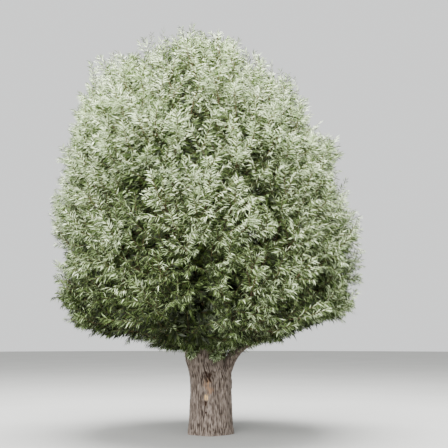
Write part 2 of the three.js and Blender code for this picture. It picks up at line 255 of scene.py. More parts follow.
@dataclass
class MeshParts:
    """Points and triangles gathered for one piece, a finish for each triangle and values for each point."""

    name: str
    points: list[Array] = field(default_factory=list)
    triangles: list[Array] = field(default_factory=list)
    finishes: list[Array] = field(default_factory=list)
    values: dict[str, list[Array]] = field(default_factory=dict)
    count: int = 0

    def add(self, points: Array, triangles: Array, finish: Array | int = 0, **values: Array) -> None:
        """Adds points and the triangles on them.

        Args:
            points: the places of the points.
            triangles: the point numbers of each triangle.
            finish: the finish of each triangle, or of all.
            values: named values, one for each point.
        """
        points = points.reshape(-1, 3)
        triangles = triangles.reshape(-1, 3)
        self.points.append(points)
        self.triangles.append(triangles + self.count)
        self.finishes.append(np.broadcast_to(finish, (len(triangles),)))
        for name, each in values.items():
            self.values.setdefault(name, []).append(each.reshape(-1))
        self.count += len(points)

    def build(self, materials: list[Material], slot: Slot, nodes: Sequence[str]) -> None:
        """Makes the piece, in place of the solids that it stands for.

        Args:
            materials: the finishes, in the order of their numbers.
            slot: the record's slot for this piece; not used.
            nodes: the solids that it replaces.
        """
        points = np.concatenate(self.points).astype(np.float32)
        triangles = np.concatenate(self.triangles).astype(np.int32)
        mesh = bpy.data.meshes.new(self.name)
        mesh.vertices.add(len(points))
        mesh.vertices.foreach_set("co", points.ravel())
        mesh.loops.add(triangles.size)
        mesh.loops.foreach_set("vertex_index", triangles.ravel())
        mesh.polygons.add(len(triangles))
        mesh.polygons.foreach_set("loop_start", np.arange(0, triangles.size, 3, dtype=np.int32))
        mesh.update(calc_edges=True)
        mesh.polygons.foreach_set("material_index", np.concatenate(self.finishes).astype(np.int32))
        mesh.polygons.foreach_set("use_smooth", np.ones(len(triangles), bool))
        for name, each in self.values.items():
            layer = mesh.attributes.new(name, "FLOAT", "POINT")
            layer.data.foreach_set("value", np.concatenate(each).astype(np.float32))
        for material in materials:
            mesh.materials.append(material)
        mesh.validate()
        piece = new_object(self.name, mesh)
        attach(piece, BODY)
        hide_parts(*nodes)
        log.info("%s: %d triangles in place of %d solids", self.name, len(triangles), len(nodes))


def ring_triangles(rows: int, columns: int) -> Array:
    """Triangles between rings of points.

    Args:
        rows: how many rings.
        columns: how many points each ring has.

    Returns:
        The point numbers of each triangle.
    """
    row, column = np.meshgrid(np.arange(rows - 1), np.arange(columns), indexing="ij")
    a = (row * columns + column).ravel()
    b = (row * columns + (column + 1) % columns).ravel()
    return np.concatenate([np.stack([a, b, a + columns], 1), np.stack([b, b + columns, a + columns], 1)])


def tubes(paths: Array, radii: Array, sides: int) -> tuple[Array, Array]:
    """Round limbs along many paths at once, each open at both ends.

    Args:
        paths: limb, step and place.
        radii: limb and step.
        sides: corners of each ring.

    Returns:
        The points and the triangles.
    """
    count, steps, _ = paths.shape
    along = unit(np.gradient(paths, axis=1))
    wanted = np.where(np.abs(along[:, :1, 2:]) > STEEP, RIGHT, UP)
    points = paths[:, :, None] + rings_round(along, wanted, full_turn(sides)) * radii[:, :, None, None]
    shift = np.arange(count)[:, None, None] * (steps * sides)
    return points.reshape(-1, 3), (ring_triangles(steps, sides) + shift).reshape(-1, 3)


# ---- the plan of the crown ----


@dataclass(frozen=True)
class Ring:
    """One level of masses of foliage round the crown, as in the solids."""

    part: Part
    level: float  # height of its masses
    count: int
    turn: float  # of its first mass
    start: float  # from the hub to the inner ends of its masses
    seat: float  # of its poles, from the middle of the head
    seat_height: float
    rise: float  # of its poles where they leave the head
    girth: float
    droop: float  # how far its shoots sag
    branches: int  # on each stem


RINGS = (
    Ring(Part.SKIRT, 2.08, 8, -0.393, 0.78, 0.24, 1.27, 0.74, 0.042, 0.16, 16),
    Ring(Part.WAIST, 3.3, 8, 0.0, 1.15, 0.212, 1.37, 1.02, 0.042, 0.1, 18),
    Ring(Part.SHOULDER, 4.95, 6, 0.1, 1.6, 0.146, 1.42, 1.3, 0.038, 0.05, 21),
    Ring(Part.CROWN, 6.0, 4, 0.6, 2.1, 0.076, 1.44, 1.45, 0.032, 0.02, 11),
    Ring(Part.TOP, 6.519, 1, 0.0, 2.5, 0.0, 1.44, 1.57, 0.032, 0.0, 14),
)


@dataclass(frozen=True)
class Swell:
    """A place where the crown stands out of its even outline, or stays short of it: amount below 0."""

    place: Place
    size: float
    amount: float

    def at(self, surface: Array) -> Array:
        """How far the crown stands out at places on its even outline."""
        away = np.linalg.norm(surface - np.array(self.place), axis=1) / self.size
        return self.amount * np.exp(-(away**2))


SWELLS = (
    Swell((-1.8, 0.0, 5.82), 0.42, 0.5),
    Swell((-1.0, 0.0, 6.42), 0.45, -0.52),
    Swell((0.45, 0.0, 6.35), 0.4, -0.1),
    Swell((1.25, 0.0, 5.6), 0.5, 0.28),
    Swell((1.95, 0.0, 4.55), 0.45, 0.26),
    Swell((-2.5, 0.0, 3.6), 0.5, 0.2),
    Swell((-2.5, 0.0, 2.7), 0.4, -0.14),
    Swell((2.35, 0.0, 3.1), 0.45, 0.1),
    Swell((2.25, 0.0, 2.0), 0.45, -0.18),
    Swell((-0.25, -2.2, 2.6), 0.45, -0.16),
    Swell((-0.43, -2.0, 2.05), 0.26, -0.24),
    Swell((0.55, -1.9, 1.8), 0.17, -0.3),
    Swell((-0.05, -1.85, 4.4), 0.35, -0.12),
    Swell((-0.9, -2.2, 3.4), 0.35, 0.14),
    Swell((0.6, -2.3, 2.95), 0.3, 0.16),
)


@dataclass
class Mass:
    """One mass of foliage: its place in the crown, and the directions that its cone is measured by."""

    name: str
    ring: Ring
    seed: int
    angle: float
    stout: bool  # whether the stout limb carries it
    axis: Array
    swell: float

    def __post_init__(self) -> None:
        """Works out the two directions square to the axis."""
        self.up = unit(np.cross(self.axis, [-math.sin(self.angle), math.cos(self.angle), 0.0]))
        self.side = unit(np.cross(self.up, self.axis))

    def direction_off(self, off: Array, spin: Array) -> Array:
        """Directions at angles off the axis, turned by spin round it."""
        around = turned(self.side, self.up, spin[..., None])
        return turned(self.axis, around, off[..., None])


@dataclass
class CrownPlan:
    """The crown's outline and the masses in it, by the rule of the solids."""

    tree_height: float = 6.52
    widest_height: float = 3.0
    skirt_height: float = 1.4
    half_width: float = 2.42
    dome_power: float = 2.0
    skirt_power: float = 5.0
    shift: float = -0.02
    lean: float = -0.11
    lean_start: float = 2.7
    head_shift: float = -0.086
    hub_height: float = 1.15
    turn_jitter: float = 0.09
    level_jitter: float = 0.09
    reach_jitter: float = 0.035
    mass_dome: float = 0.035
    reach_step: float = 0.04
    reach_halvings: int = 12
    widest_spread: float = 0.7  # angle that no mass spreads beyond
    spread_halvings: int = 14
    meeting_share: float = 0.92  # of its reach, where a mass meets its neighbours
    edge_share: float = 0.97
    floor_height: float = 1.43
    floor_by_head: float = 1.32
    floor_by_limb: float = 1.4
    floor_on_right: float = 1.78
    floor_fade: Range = (0.6, 1.5)  # from the trunk, where the floor rises to its usual height
    limb_fade: Range = (0.28, 0.5)  # to the right, where it rises to its height by the limb
    right_fade: Range = (1.0, 1.8)
    floor_waver: float = 0.07
    floor_noise: SoftNoise = SoftNoise(4.5, 2, 8.8)
    pole_sweep: float = 1.1  # how much harder a pole is pulled at its root than at its foot

    def __post_init__(self) -> None:
        """Places the hub and plans every mass, in order from the skirt up."""
        self.hub = np.array([self.head_shift, 0.0, self.hub_height])
        spots = [(ring, i) for ring in RINGS for i in range(ring.count)]
        self.masses = [self._mass(ring, i, seed) for seed, (ring, i) in enumerate(spots, start=1)]
        self.axes = np.array([mass.axis for mass in self.masses])

    def _mass(self, ring: Ring, i: int, seed: int) -> Mass:
        """Plans one mass.

        Args:
            ring: its level of the crown.
            i: its number there, from 0.
            seed: the number of its draws.

        Returns:
            The mass.
        """
        loose = int(ring.count > 1)
        angle = ring.turn + 2 * math.pi * i / ring.count
        angle = angle + loose * self.turn_jitter * jitter(seed, DrawFor.TURN)
        level = ring.level + loose * self.level_jitter * jitter(seed, DrawFor.LEVEL)
        middle, half = float(self.axis_at(level)), float(self.width_at(level))
        target = np.array([middle + half * math.cos(angle), half * math.sin(angle), level])
        name = ring.part.name.lower()
        return Mass(
            name=f"{name}_{i + 1}" if loose else name,
            ring=ring,
            seed=seed,
            angle=angle,
            stout=ring.part is Part.SKIRT and i == 0,
            axis=unit(target - self.hub),
            swell=1 + loose * self.reach_jitter * jitter(seed, DrawFor.REACH),
        )

    def axis_at(self, z: Array) -> Array:
        """Sideways place of the crown's axis at heights."""
        return self.shift + self.lean * np.maximum(0, z - self.lean_start)

    def width_at(self, z: Array) -> Array:
        """Half-width of the crown at heights.

        Args:
            z: the heights.

        Returns:
            One half-width for each.
        """
        above = z > self.widest_height
        span = np.where(above, self.tree_height - self.widest_height, self.widest_height - self.skirt_height)
        power = np.where(above, self.dome_power, self.skirt_power)
        share = np.minimum(1, np.abs(z - self.widest_height) / span)
        return self.half_width * (1 - share**power) ** (1 / power)

    def _inside(self, directions: Array, distances: Array) -> Array:
        """Whether the points at distances along directions lie in the outline."""
        p = self.hub + directions * distances[:, None]
        return np.hypot(p[:, 0] - self.axis_at(p[:, 2]), p[:, 1]) < self.width_at(p[:, 2])

    def reach(self, directions: Array) -> Array:
        """Hub to the crown's surface along directions: the last point inside the outline.

        Args:
            directions: one direction for each row.

        Returns:
            One distance for each row.
        """
        far, step = np.full(len(directions), self.tree_height), self.reach_step
        for _ in range(int(self.tree_height / step)):
            outside = ~self._inside(directions, far) & (far > step)
            if not outside.any():
                break
            far = np.where(outside, far - step, far)
        return halved(far, far + step, lambda at: self._inside(directions, at), self.reach_halvings)

    def swelling(self, directions: Array, reach: Array) -> Array:
        """How far the crown stands out of its even outline along directions that meet it at a reach."""
        surface = self.hub + directions * reach[:, None]
        return sum(swell.at(surface) for swell in SWELLS)

    def mass_reach(self, mass: Mass, directions: Array, share: Array) -> Array:
        """Hub to the outermost leaf of a mass, at a share of the way from its axis to its edge."""
        return self.reach(directions) * mass.swell * (1 - self.mass_dome * share**2)

    def axis_reach(self, mass: Mass) -> float:
        """Hub to the outermost leaf of a mass along its axis."""
        return self.mass_reach(mass, mass.axis[None], np.zeros(1))[0]

    def spread(self, mass: Mass, spins: Array) -> Array:
        """How far off its axis a mass may spread before it meets its neighbours or the crown's underside.

        Args:
            mass: the mass.
            spins: turns round its axis.

        Returns:
            One angle for each turn.
        """
        probe = self.meeting_share * self.axis_reach(mass)
        rivals = [axis for axis in self.axes if not np.allclose(axis, mass.axis)]
        apart = unit(mass.axis - np.array(rivals))

        def fits(off: Array) -> Array:
            """Whether the mass still keeps to its own space at angles off its axis.

            Args:
                off: one angle for each turn.

            Returns:
                One answer for each.
            """
            directions = mass.direction_off(off, spins)
            offset = directions * np.minimum(probe, self.edge_share * self.reach(directions))[:, None]
            return (offset @ apart.T > 0).all(1) & (self.hub[2] + offset[:, 2] > self.skirt_height)

        ends = np.zeros(len(spins)), np.full(len(spins), self.widest_spread)
        return halved(*ends, fits, self.spread_halvings)

    def floor_at(self, places: Array) -> Array:
        """How low leaves hang over places: lowest close to the trunk, and higher on the right.

        Args:
            places: the places.

        Returns:
            One height for each.
        """
        x = places[:, 0]
        wide = smoothstep(np.hypot(x - self.head_shift, places[:, 1]), *self.floor_fade)
        near = between((self.floor_by_head, self.floor_by_limb), smoothstep(x, *self.limb_fade))
        waver = self.floor_waver * self.floor_noise.at(places)
        floor = near + (self.floor_height - near) * wide + waver * wide
        return floor + (self.floor_on_right - self.floor_height) * smoothstep(x, *self.right_fade)

    def pole_curve(self, mass: Mass, root: Array, rise: float, t: Array) -> Array:
        """Points of a pole's middle line, from its root in the head to the foot of its mass.

        Args:
            mass: the pole's mass.
            root: where it is rooted.
            rise: how steeply it leaves.
            t: places along it, from 0 to 1.

        Returns:
            One point for each place.
        """
        foot = self.hub + mass.axis * mass.ring.start
        pull = np.linalg.norm(foot - root) / 3
        after, before = root + bearing(mass.angle, rise) * pull * self.pole_sweep, foot - mass.axis * pull
        t = t[:, None]
        inner, outer = (1 - t) ** 3 * root + 3 * t * (1 - t) ** 2 * after, 3 * t * t * (1 - t) * before
        return inner + outer + t**3 * foot

    def nodes(self, kind: Solid, rings: Sequence[Ring] = RINGS) -> list[str]:
        """Names of the solids of one kind in some rings. The stout limb isn't one of the poles."""
        masses = [mass for mass in self.masses if mass.ring in rings]
        return [f"{kind.value}_{mass.name}" for mass in masses if kind is Solid.FOLIAGE or not mass.stout]


# ---- finishes ----


def add_node(tree: Tree, kind: str, inputs: Inputs | None = None, **settings: object) -> Node:
    """Adds a shader node.

    Args:
        tree: the nodes that it joins.
        kind: its type, without the word that all of them begin with.
        inputs: a value or a socket for each input, by name or number.
        settings: its own settings, by name.

    Returns:
        The node.
    """
    node = tree.nodes.new(f"ShaderNode{kind}")
    for name, value in settings.items():
        setattr(node, name, value)
    for name, value in (inputs or {}).items():
        if isinstance(value, Socket):
            tree.links.new(value, node.inputs[name])
        else:
            node.inputs[name].default_value = value
    return node


def mixed(tree: Tree, share: Socket, first: Socket | Colour, second: Socket | Colour) -> Socket:
    """Two colours mixed by a share, 0 for the first and 1 for the second."""
    inputs = {"Factor": share, COLOR_A: first, COLOR_B: second}
    return add_node(tree, "Mix", inputs, data_type="RGBA").outputs[COLOR_OUT]


class Effect(ABC):
    """An effect that more than one material uses: a node group, built once and placed with its own values."""

    NAME: str
    COLOURS: tuple[str, ...]
    NUMBERS: tuple[str, ...] = ()
    RESULTS: dict[str, str]

    @classmethod
    def get(cls) -> Tree:
        """Builds the group once and finds it after that.

        Returns:
            The group.
        """
        group = bpy.data.node_groups.get(cls.NAME)
        if group:
            return group
        group = bpy.data.node_groups.new(cls.NAME, "ShaderNodeTree")
        for names, kind in ((cls.COLOURS, "NodeSocketColor"), (cls.NUMBERS, "NodeSocketFloat")):
            for name in names:
                group.interface.new_socket(name, in_out="INPUT", socket_type=kind)
        for name, kind in cls.RESULTS.items():
            group.interface.new_socket(name, in_out="OUTPUT", socket_type=kind)
        results = cls.fill(group, group.nodes.new("NodeGroupInput").outputs)
        outlet = group.nodes.new("NodeGroupOutput")
        for name, value in results.items():
            group.links.new(value, outlet.inputs[name])
        return group

    @classmethod
    @abstractmethod
    def fill(cls, group: Tree, given: Sockets) -> dict[str, Socket]:
        """Adds the nodes of the effect to its group, and gives the socket of each result by name."""


class ToneGroup(Effect):
    """Mixes two tones by a soft noise, and gives a roughness that goes with them."""

    NAME = "soft_tones"
    COLOURS = ("Light Tone", "Dark Tone")
    NUMBERS = ("Scale", "Stretch", "Contrast", "Smooth", "Rough")
    RESULTS = {"Color": "NodeSocketColor", "Roughness": "NodeSocketFloat"}
    DETAIL = 3.0  # layers of the noise
    MIDDLE = 0.5  # of the noise, where the tones meet

    @classmethod
    def fill(cls, group: Tree, given: Sockets) -> dict[str, Socket]:
        """Adds the nodes of the effect.

        Args:
            group: the group that they join.
            given: the sockets of its inputs.

        Returns:
            The socket of each result, by name.
        """
        place = add_node(group, "TexCoord").outputs["Object"]
        stretch = add_node(group, "CombineXYZ", {"X": 1, "Y": 1, "Z": given["Stretch"]}).outputs["Vector"]
        scaled = add_node(group, "VectorMath", {0: place, 1: stretch}, operation="MULTIPLY").outputs["Vector"]
        cloud = add_node(group, "TexNoise", {"Vector": scaled, "Scale": given["Scale"], "Detail": cls.DETAIL})
        low, high = (
            add_node(group, "Math", {0: cls.MIDDLE, 1: given["Contrast"]}, operation=way).outputs[0]
            for way in ("SUBTRACT", "ADD")
        )
        limits = {"From Min": low, "From Max": high}
        mask = add_node(group, "MapRange", {"Value": cloud.outputs["Fac"], **limits}).outputs["Result"]
        ends = {"To Min": given["Rough"], "To Max": given["Smooth"]}
        rough = add_node(group, "MapRange", {"Value": mask, **ends}).outputs["Result"]
        return {"Color": mixed(group, mask, given["Dark Tone"], given["Light Tone"]), "Roughness": rough}


class BarkGroup(Effect):
    """Furrows, bare wood and holes painted near-black as painted shade, where values on the mesh ask for
    them, and a fine grain up the wood.
    """

    NAME = "furrowed_bark"
    COLOURS = ("Tones", "Furrow", "Wood", "Fresh", "Hollow")
    RESULTS = {"Color": "NodeSocketColor", "Height": "NodeSocketFloat"}
    GRAIN_SCALE = 60.0
    GRAIN_STRETCH = (1, 1, 0.25)
    GRAIN_DETAIL = 4.0

    @classmethod
    def fill(cls, group: Tree, given: Sockets) -> dict[str, Socket]:
        """Adds the nodes of the effect.

        Args:
            group: the group that they join.
            given: the sockets of its inputs.

        Returns:
            The socket of each result, by name.
        """
        values = [add_node(group, "Attribute", attribute_name=name) for name in ("relief", *WOUND_VALUES)]
        relief, bare, fresh, hollow = (value.outputs["Fac"] for value in values)
        # The relief value also carries the painted shade of the head and the limb, which pulls the colour
        # towards the furrows.
        color = mixed(group, relief, given["Furrow"], given["Tones"])
        color = mixed(group, bare, color, mixed(group, fresh, given["Wood"], given["Fresh"]))
        place = {"Vector": add_node(group, "TexCoord").outputs["Object"], "Scale": cls.GRAIN_STRETCH}
        stretched = add_node(group, "Mapping", place).outputs["Vector"]
        size = {"Scale": cls.GRAIN_SCALE, "Detail": cls.GRAIN_DETAIL}
        height = add_node(group, "TexNoise", {"Vector": stretched, **size}).outputs["Fac"]
        # The holes take the near-black of painted shade.
        return {"Color": mixed(group, hollow, color, given["Hollow"]), "Height": height}


@dataclass(frozen=True)
class Finish:
    """A finish of two tones that soft noise mixes. What isn't given is as on a leaf."""

    name: str
    light: Colour
    dark: Colour
    sheen: float = 0.0
    scale: float = 9.0
    stretch: float = 1.0
    contrast: float = 0.16
    smooth: float = 0.5
    rough: float = 0.68
    specular: float = 0.35

    def build(self) -> Material:
        """Makes the material.

        Returns:
            The material.
        """
        material = bpy.data.materials.new(self.name)
        material.use_nodes = True
        tree = material.node_tree
        shader = next(node for node in tree.nodes if node.type == "BSDF_PRINCIPLED")
        inputs = dict(zip(ToneGroup.COLOURS, (self.light, self.dark)))
        inputs |= {name: getattr(self, name.lower()) for name in ToneGroup.NUMBERS}
        tones = add_node(tree, "Group", inputs, node_tree=ToneGroup.get())
        tree.links.new(tones.outputs["Roughness"], shader.inputs["Roughness"])
        shader.inputs["Sheen Weight"].default_value = self.sheen
        shader.inputs["Specular IOR Level"].default_value = self.specular
        self.dress(tree, shader, tones.outputs["Color"])
        return material

    def dress(self, tree: Tree, shader: Node, tones: Socket) -> None:
        """Gives the shader the mixed tones as they are."""
        tree.links.new(tones, shader.inputs["Base Color"])


# Tints from silver to the darkest green. A leaf's tint follows its side, silver underside or green top, and
# the painted light and shade of its spray; the darkest tint is painted shade.
LEAF_FINISHES = (
    Finish("leaf_silver", linear(236, 252, 208), linear(224, 242, 192), sheen=0.15),
    Finish("leaf_pale", linear(180, 199, 148), linear(164, 184, 130), sheen=0.15),
    Finish("leaf_sage", linear(124, 145, 87), linear(108, 130, 72), sheen=0.08),
    Finish("leaf_green", linear(84, 103, 46), linear(68, 87, 34), sheen=0.05),
    Finish("leaf_olive", linear(54, 66, 24), linear(43, 54, 18)),
    Finish("leaf_shade", linear(34, 43, 18), linear(27, 34, 14)),
)


@dataclass(frozen=True, kw_only=True)
class BarkFinish(Finish):
    """Furrowed bark: pale ridges, dark furrows, and bare wood where a value on the mesh asks for it."""

    furrow: Colour
    scale: float = 26.0
    stretch: float = 0.35
    contrast: float = 0.14
    smooth: float = 0.85
    rough: float = 0.95
    specular: float = 0.2
    fresh: Colour = linear(212, 176, 122)
    wood: Colour = linear(146, 116, 92)
    # painted shade: the near-black colour of the wound's holes
    hollow: Colour = linear(46, 30, 21)
    grain_depth: float = 0.004
    grain_strength: float = 0.8

    def dress(self, tree: Tree, shader: Node, tones: Socket) -> None:
        """Adds the furrows, the bare wood and a fine grain to the mixed tones of the ridges.

        Args:
            tree: the material's nodes.
            shader: the shader.
            tones: the mixed tones.
        """
        own = {name: getattr(self, name.lower()) for name in BarkGroup.COLOURS if name != "Tones"}
        bark = add_node(tree, "Group", {"Tones": tones, **own}, node_tree=BarkGroup.get()).outputs
        bump = {"Height": bark["Height"], "Distance": self.grain_depth, "Strength": self.grain_strength}
        tree.links.new(bark["Color"], shader.inputs["Base Color"])
        tree.links.new(add_node(tree, "Bump", bump).outputs["Normal"], shader.inputs["Normal"])


OLD_BARK = BarkFinish(
    name="old_bark", light=linear(146, 133, 123), dark=linear(98, 87, 79), furrow=linear(60, 50, 43)
)
YOUNG_BARK = BarkFinish(
    name="young_bark", light=linear(122, 104, 76), dark=linear(92, 78, 56), furrow=linear(66, 54, 40)
)
FLOOR_MATT = Finish(
    "floor_matt",
    (0.42, 0.42, 0.405, 1),
    (0.38, 0.38, 0.365, 1),
    scale=0.4,
    contrast=0.3,
    smooth=0.8,
    rough=0.95,
    specular=0.5,
)


# ---- wood ----


@dataclass
class FurrowedBark:
    """The relief of old willow bark: upright ridges that wander, part round furrows and break into plates."""

    furrow_depth: float = 0.014
    level: float = 0.62  # relief that lies level with the smooth wood
    waver: float = 1.7  # how far a ridge strays, in radians of its own wave
    waver_noise: SoftNoise = SoftNoise(4.2, 3, 3.7, upright=0.3)
    branching_noise: SoftNoise = SoftNoise(6.72, 2, 11.3, upright=0.3)
    branching_turn: float = 0.5  # of the slanting furrows, for each turn of the upright ones
    branching_rise: float = 7.0  # how steeply they climb, in radians for each metre
    branching: Range = (0.25, 1.45)  # relief at their bottom, and where they would be full
    worn: Range = (0.3, 0.75)  # depth of the furrows where the bark is worn and where it is whole
    worn_noise: SoftNoise = SoftNoise(7.0, 2, 1.9)
    worn_fade: Range = (-0.35, 0.3)
    streaks: float = 0.9
    streak_noise: SoftNoise = SoftNoise(58.0, 2, 7.9, upright=0.18)
    loss: float = 0.1
    rough_depth: float = 0.005
    rough_noise: SoftNoise = SoftNoise(42.0, 2, 5.1, upright=0.45)

    def relief(self, points: Array, angle: Array, along: Array, furrows: int) -> Array:
        """How high the bark stands at each point, from 0 in a furrow to 1 on a ridge.

        Args:
            points: places on the smooth wood.
            angle: turn round the wood.
            along: distance up the wood.
            furrows: half of the number of ridges round it.

        Returns:
            One value for each point.
        """
        turn = furrows * angle + self.waver * self.waver_noise.at(points)
        strayed = self.waver * self.branching_noise.at(points)
        slant = self.branching_turn * turn + self.branching_rise * along + strayed
        plates = np.minimum(np.abs(np.sin(turn)), between(self.branching, np.abs(np.sin(slant))))
        depth = between(self.worn, smoothstep(self.worn_noise.at(points), *self.worn_fade))
        streaks = self.streaks * self.streak_noise.at(points)
        return np.clip(1 - depth * (1 - plates) + streaks - self.loss, 0, 1)

    def height(self, points: Array, relief: Array) -> Array:
        """How far the bark stands out of the smooth wood, in metres."""
        rough = self.rough_depth * self.rough_noise.at(points) * relief
        return self.furrow_depth * (relief - self.level) + rough


@dataclass(frozen=True)
class WoundMark:
    """One mark in the long wound: its height, how tall and wide it is, how far aside, and what shows."""

    height: float
    tall: float
    wide: float
    aside: float
    depth: float
    bare: float = 0.0  # 1 where the bark has gone
    fresh: float = 0.0  # 1 where the wood is still pale
    hollow: float = 0.0  # 1 where it is a hole, painted near-black as painted shade

    def share(self, z: Array, across: Array) -> Array:
        """How much of the mark there is at heights and places across the wound."""
        return np.exp(-(((z - self.height) / self.tall) ** 4) - ((across - self.aside) / self.wide) ** 2)


WOUND_MARKS = (
    WoundMark(0.95, 0.025, 0.35, -0.1, 0.03, hollow=1.1),
    WoundMark(0.905, 0.035, 0.75, 0.65, 0.045, bare=0.6, hollow=1.6),
    WoundMark(0.85, 0.06, 0.3, 0.25, 0.03, bare=0.6, hollow=1.4),
    WoundMark(0.85, 0.05, 0.25, 1.0, 0.03, bare=0.6, hollow=1.4),
    WoundMark(0.74, 0.15, 0.95, 0.4, 0.012, bare=0.8, fresh=0.26),
    WoundMark(0.58, 0.05, 0.4, 0.2, 0.006, bare=1.3, fresh=1.3),
    WoundMark(0.485, 0.04, 0.42, 0.2, 0.02, bare=0.7, hollow=1.2),
    WoundMark(0.35, 0.016, 0.35, 0.0, 0.016, hollow=1.0),
)
WOUND_VALUES = ("bare", "fresh", "hollow")


@dataclass
class Trunk:
    """The trunk from the flat cut at the ground to its head, with furrowed bark and the wound in front."""

    plan: CrownPlan
    bark: FurrowedBark
    finish: Material
    radius: float = 0.317
    waist_height: float = 0.62
    taper: float = 0.035
    root_flare: float = 0.024
    flare_fade: float = 0.11
    root_ridge: float = 0.016
    ridge_fade: float = 0.21
    root_count: int = 5
    root_turn: float = 0.8
    flute_depth: float = 0.009
    narrow_flutes: int = 7
    narrow_turn: float = 0.4
    wide_flutes: int = 3
    wide_twist: float = 2.0  # radians for each metre
    head_narrowing: float = 0.032
    head_start: float = 0.8
    head_full: float = 1.2
    head_closing: float = 1.29
    head_top: float = 1.49
    head_share_closed: float = 0.985
    head_blunt: float = 0.8  # below 1, the head is flatter on top
    lump_depth: float = 0.02
    lump_count: int = 9
    lump_turn: float = 1.1
    lump_height: float = 0.09
    knuckle_size: float = 0.075
    knuckle_height: float = 0.035
    wound_angle: float = -1.77
    wound_middle: float = 0.655
    wound_half_height: float = 0.33
    wound_half_width: float = 0.075
    wound_depth: float = 0.014
    wound_sways: tuple[Place, ...] = ((0.25, 21.0, 0.0), (0.15, 47.0, 1.0))  # size, radians a metre, shift
    wound_streaks: SoftNoise = SoftNoise(55.0, 2, 6.6, upright=0.2)
    wound_usual: float = 0.8  # strength of its marks where no streak adds to them or takes from them
    columns: int = 360
    rows: int = 92
    head_rows: int = 16
    furrows: int = 29
    least_radius: float = 0.001
    head_shade: float = 0.3  # share by which the bark is painted darker on the head: painted shade under the crown
    # heights over which the head's painted shade sets in
    shade_fade: Range = (1.0, 1.25)
    cap_relief: float = 0.3

    def head_share(self, z: Array) -> Array:
        """How far the trunk has gone over into its head at heights, from 0 to 1."""
        return smoothstep(z, self.head_start, self.head_full)

    def smooth_radius(self, angle: Array, z: Array) -> Array:
        """Radius of the smooth wood round the trunk's axis, as in the solid but without its wound.

        Args:
            angle: turn round the trunk.
            z: height.

        Returns:
            One radius for each point.
        """
        head = self.head_share(z)
        waist = self.radius + self.taper * np.abs(z - self.waist_height)
        flare = self.root_flare * np.exp(-z / self.flare_fade)
        ridges = np.cos(self.root_count * angle + self.root_turn)
        roots = self.root_ridge * np.exp(-z / self.ridge_fade) * ridges
        narrow = np.sin(self.narrow_flutes * angle + self.narrow_turn)
        flutes = self.flute_depth * (narrow + np.sin(self.wide_flutes * angle + z * self.wide_twist))
        lumps = np.sin(self.lump_count * angle + self.lump_turn) * np.cos(z / self.lump_height)
        return waist + flare + roots + flutes + self.lump_depth * head * lumps - self.head_narrowing * head

    def place(self, angle: Array, z: Array, radius: Array, height: Array) -> Array:
        """Points off the trunk's axis at angles and heights."""
        centre = self.plan.head_shift * self.head_share(z)
        return np.stack([centre + radius * np.cos(angle), radius * np.sin(angle), height + 0 * angle], -1)

    def seat(self, mass: Mass) -> Array:
        """Where a mass's pole is rooted in the head."""
        height = np.array(mass.ring.seat_height)
        return self.place(np.array(mass.angle), height, np.array(mass.ring.seat), height)

    def wound(self, smooth: Array, angle: Array, z: Array) -> tuple[Array, dict[str, Array]]:
        """The long wound in the front, where bark has gone.

        Args:
            smooth: places on the smooth wood.
            angle: turn round the trunk.
            z: height.

        Returns:
            How deep it goes at each point, and the values for the finish by name.
        """
        sway = sum(size * np.sin(z * rate + shift) for size, rate, shift in self.wound_sways)
        across = self.radius * (angle - self.wound_angle) / self.wound_half_width - sway
        along = (z - self.wound_middle) / self.wound_half_height
        depth = self.wound_depth * np.clip(1 - across**2, 0, None) * np.clip(1 - along**4, 0, None)
        strength = self.wound_usual + self.wound_streaks.at(smooth)
        values = {name: np.zeros(angle.shape) for name in WOUND_VALUES}
        for mark in WOUND_MARKS:
            here = mark.share(z, across)
            depth = depth + mark.depth * here
            for name, value in values.items():
                values[name] = np.maximum(value, getattr(mark, name) * here * strength)
        return depth, {name: crisp(value) for name, value in values.items()}

    def build(self) -> None:
        """Makes the trunk."""
        turn = 0.5 * math.pi * np.linspace(0, self.head_share_closed, self.head_rows + 1)[1:]
        rising = between((self.head_closing, self.head_top), np.sin(turn))
        levels = np.concatenate([np.linspace(0, self.head_closing, self.rows), rising])
        share = np.concatenate([np.ones(self.rows), np.cos(turn) ** self.head_blunt])[:, None]
        angle, level = np.meshgrid(full_turn(self.columns, -math.pi), levels)
        smooth = self.place(angle, level, share * self.smooth_radius(angle, level), level)
        relief = self.bark.relief(smooth, angle, level, self.furrows)
        depth, values = self.wound(smooth, angle, level)
        stand = self.bark.height(smooth, relief) * (1 - values["bare"]) * np.sqrt(share)
        stand = stand + self._knuckles(smooth)
        radius = share * (self.smooth_radius(angle, level) - depth) + stand
        points = self.place(angle, level, np.maximum(radius, self.least_radius), level)
        # The relief value, lowered on the head: painted shade under the crown.
        pale = crisp(relief) * (1 - self.head_shade * smoothstep(level, *self.shade_fade))
        parts = MeshParts("trunk_bark")
        parts.add(points, ring_triangles(*angle.shape), relief=pale, **values)
        self._close(parts, points)
        parts.build([self.finish], Slot.BARK, ["trunk"])

    def _knuckles(self, smooth: Array) -> Array:
        """Swellings of the head where the poles leave it.

        Args:
            smooth: places on the smooth wood.

        Returns:
            How far the wood stands out at each.
        """
        stand = np.zeros(smooth.shape[:-1])
        for mass in self.plan.masses:
            if not mass.stout:
                away = np.linalg.norm(smooth - self.seat(mass), axis=-1)
                stand = np.maximum(stand, self.knuckle_height * np.exp(-((away / self.knuckle_size) ** 2)))
        return stand

    def _close(self, parts: MeshParts, points: Array) -> None:
        """Closes the foot and the top of the head with a fan each.

        Args:
            parts: the trunk's mesh.
            points: its points, in rings.
        """
        ring = np.arange(1, self.columns + 1)
        after = np.roll(ring, -1)
        none = np.zeros(self.columns + 1)
        for row, order in ((points[0], (after, ring)), (points[-1], (ring, after))):
            fan = np.stack([np.zeros_like(ring), *order], 1)
            corners = np.concatenate([row.mean(0)[None], row])
            parts.add(corners, fan, relief=none + self.cap_relief, **dict.fromkeys(WOUND_VALUES, none))


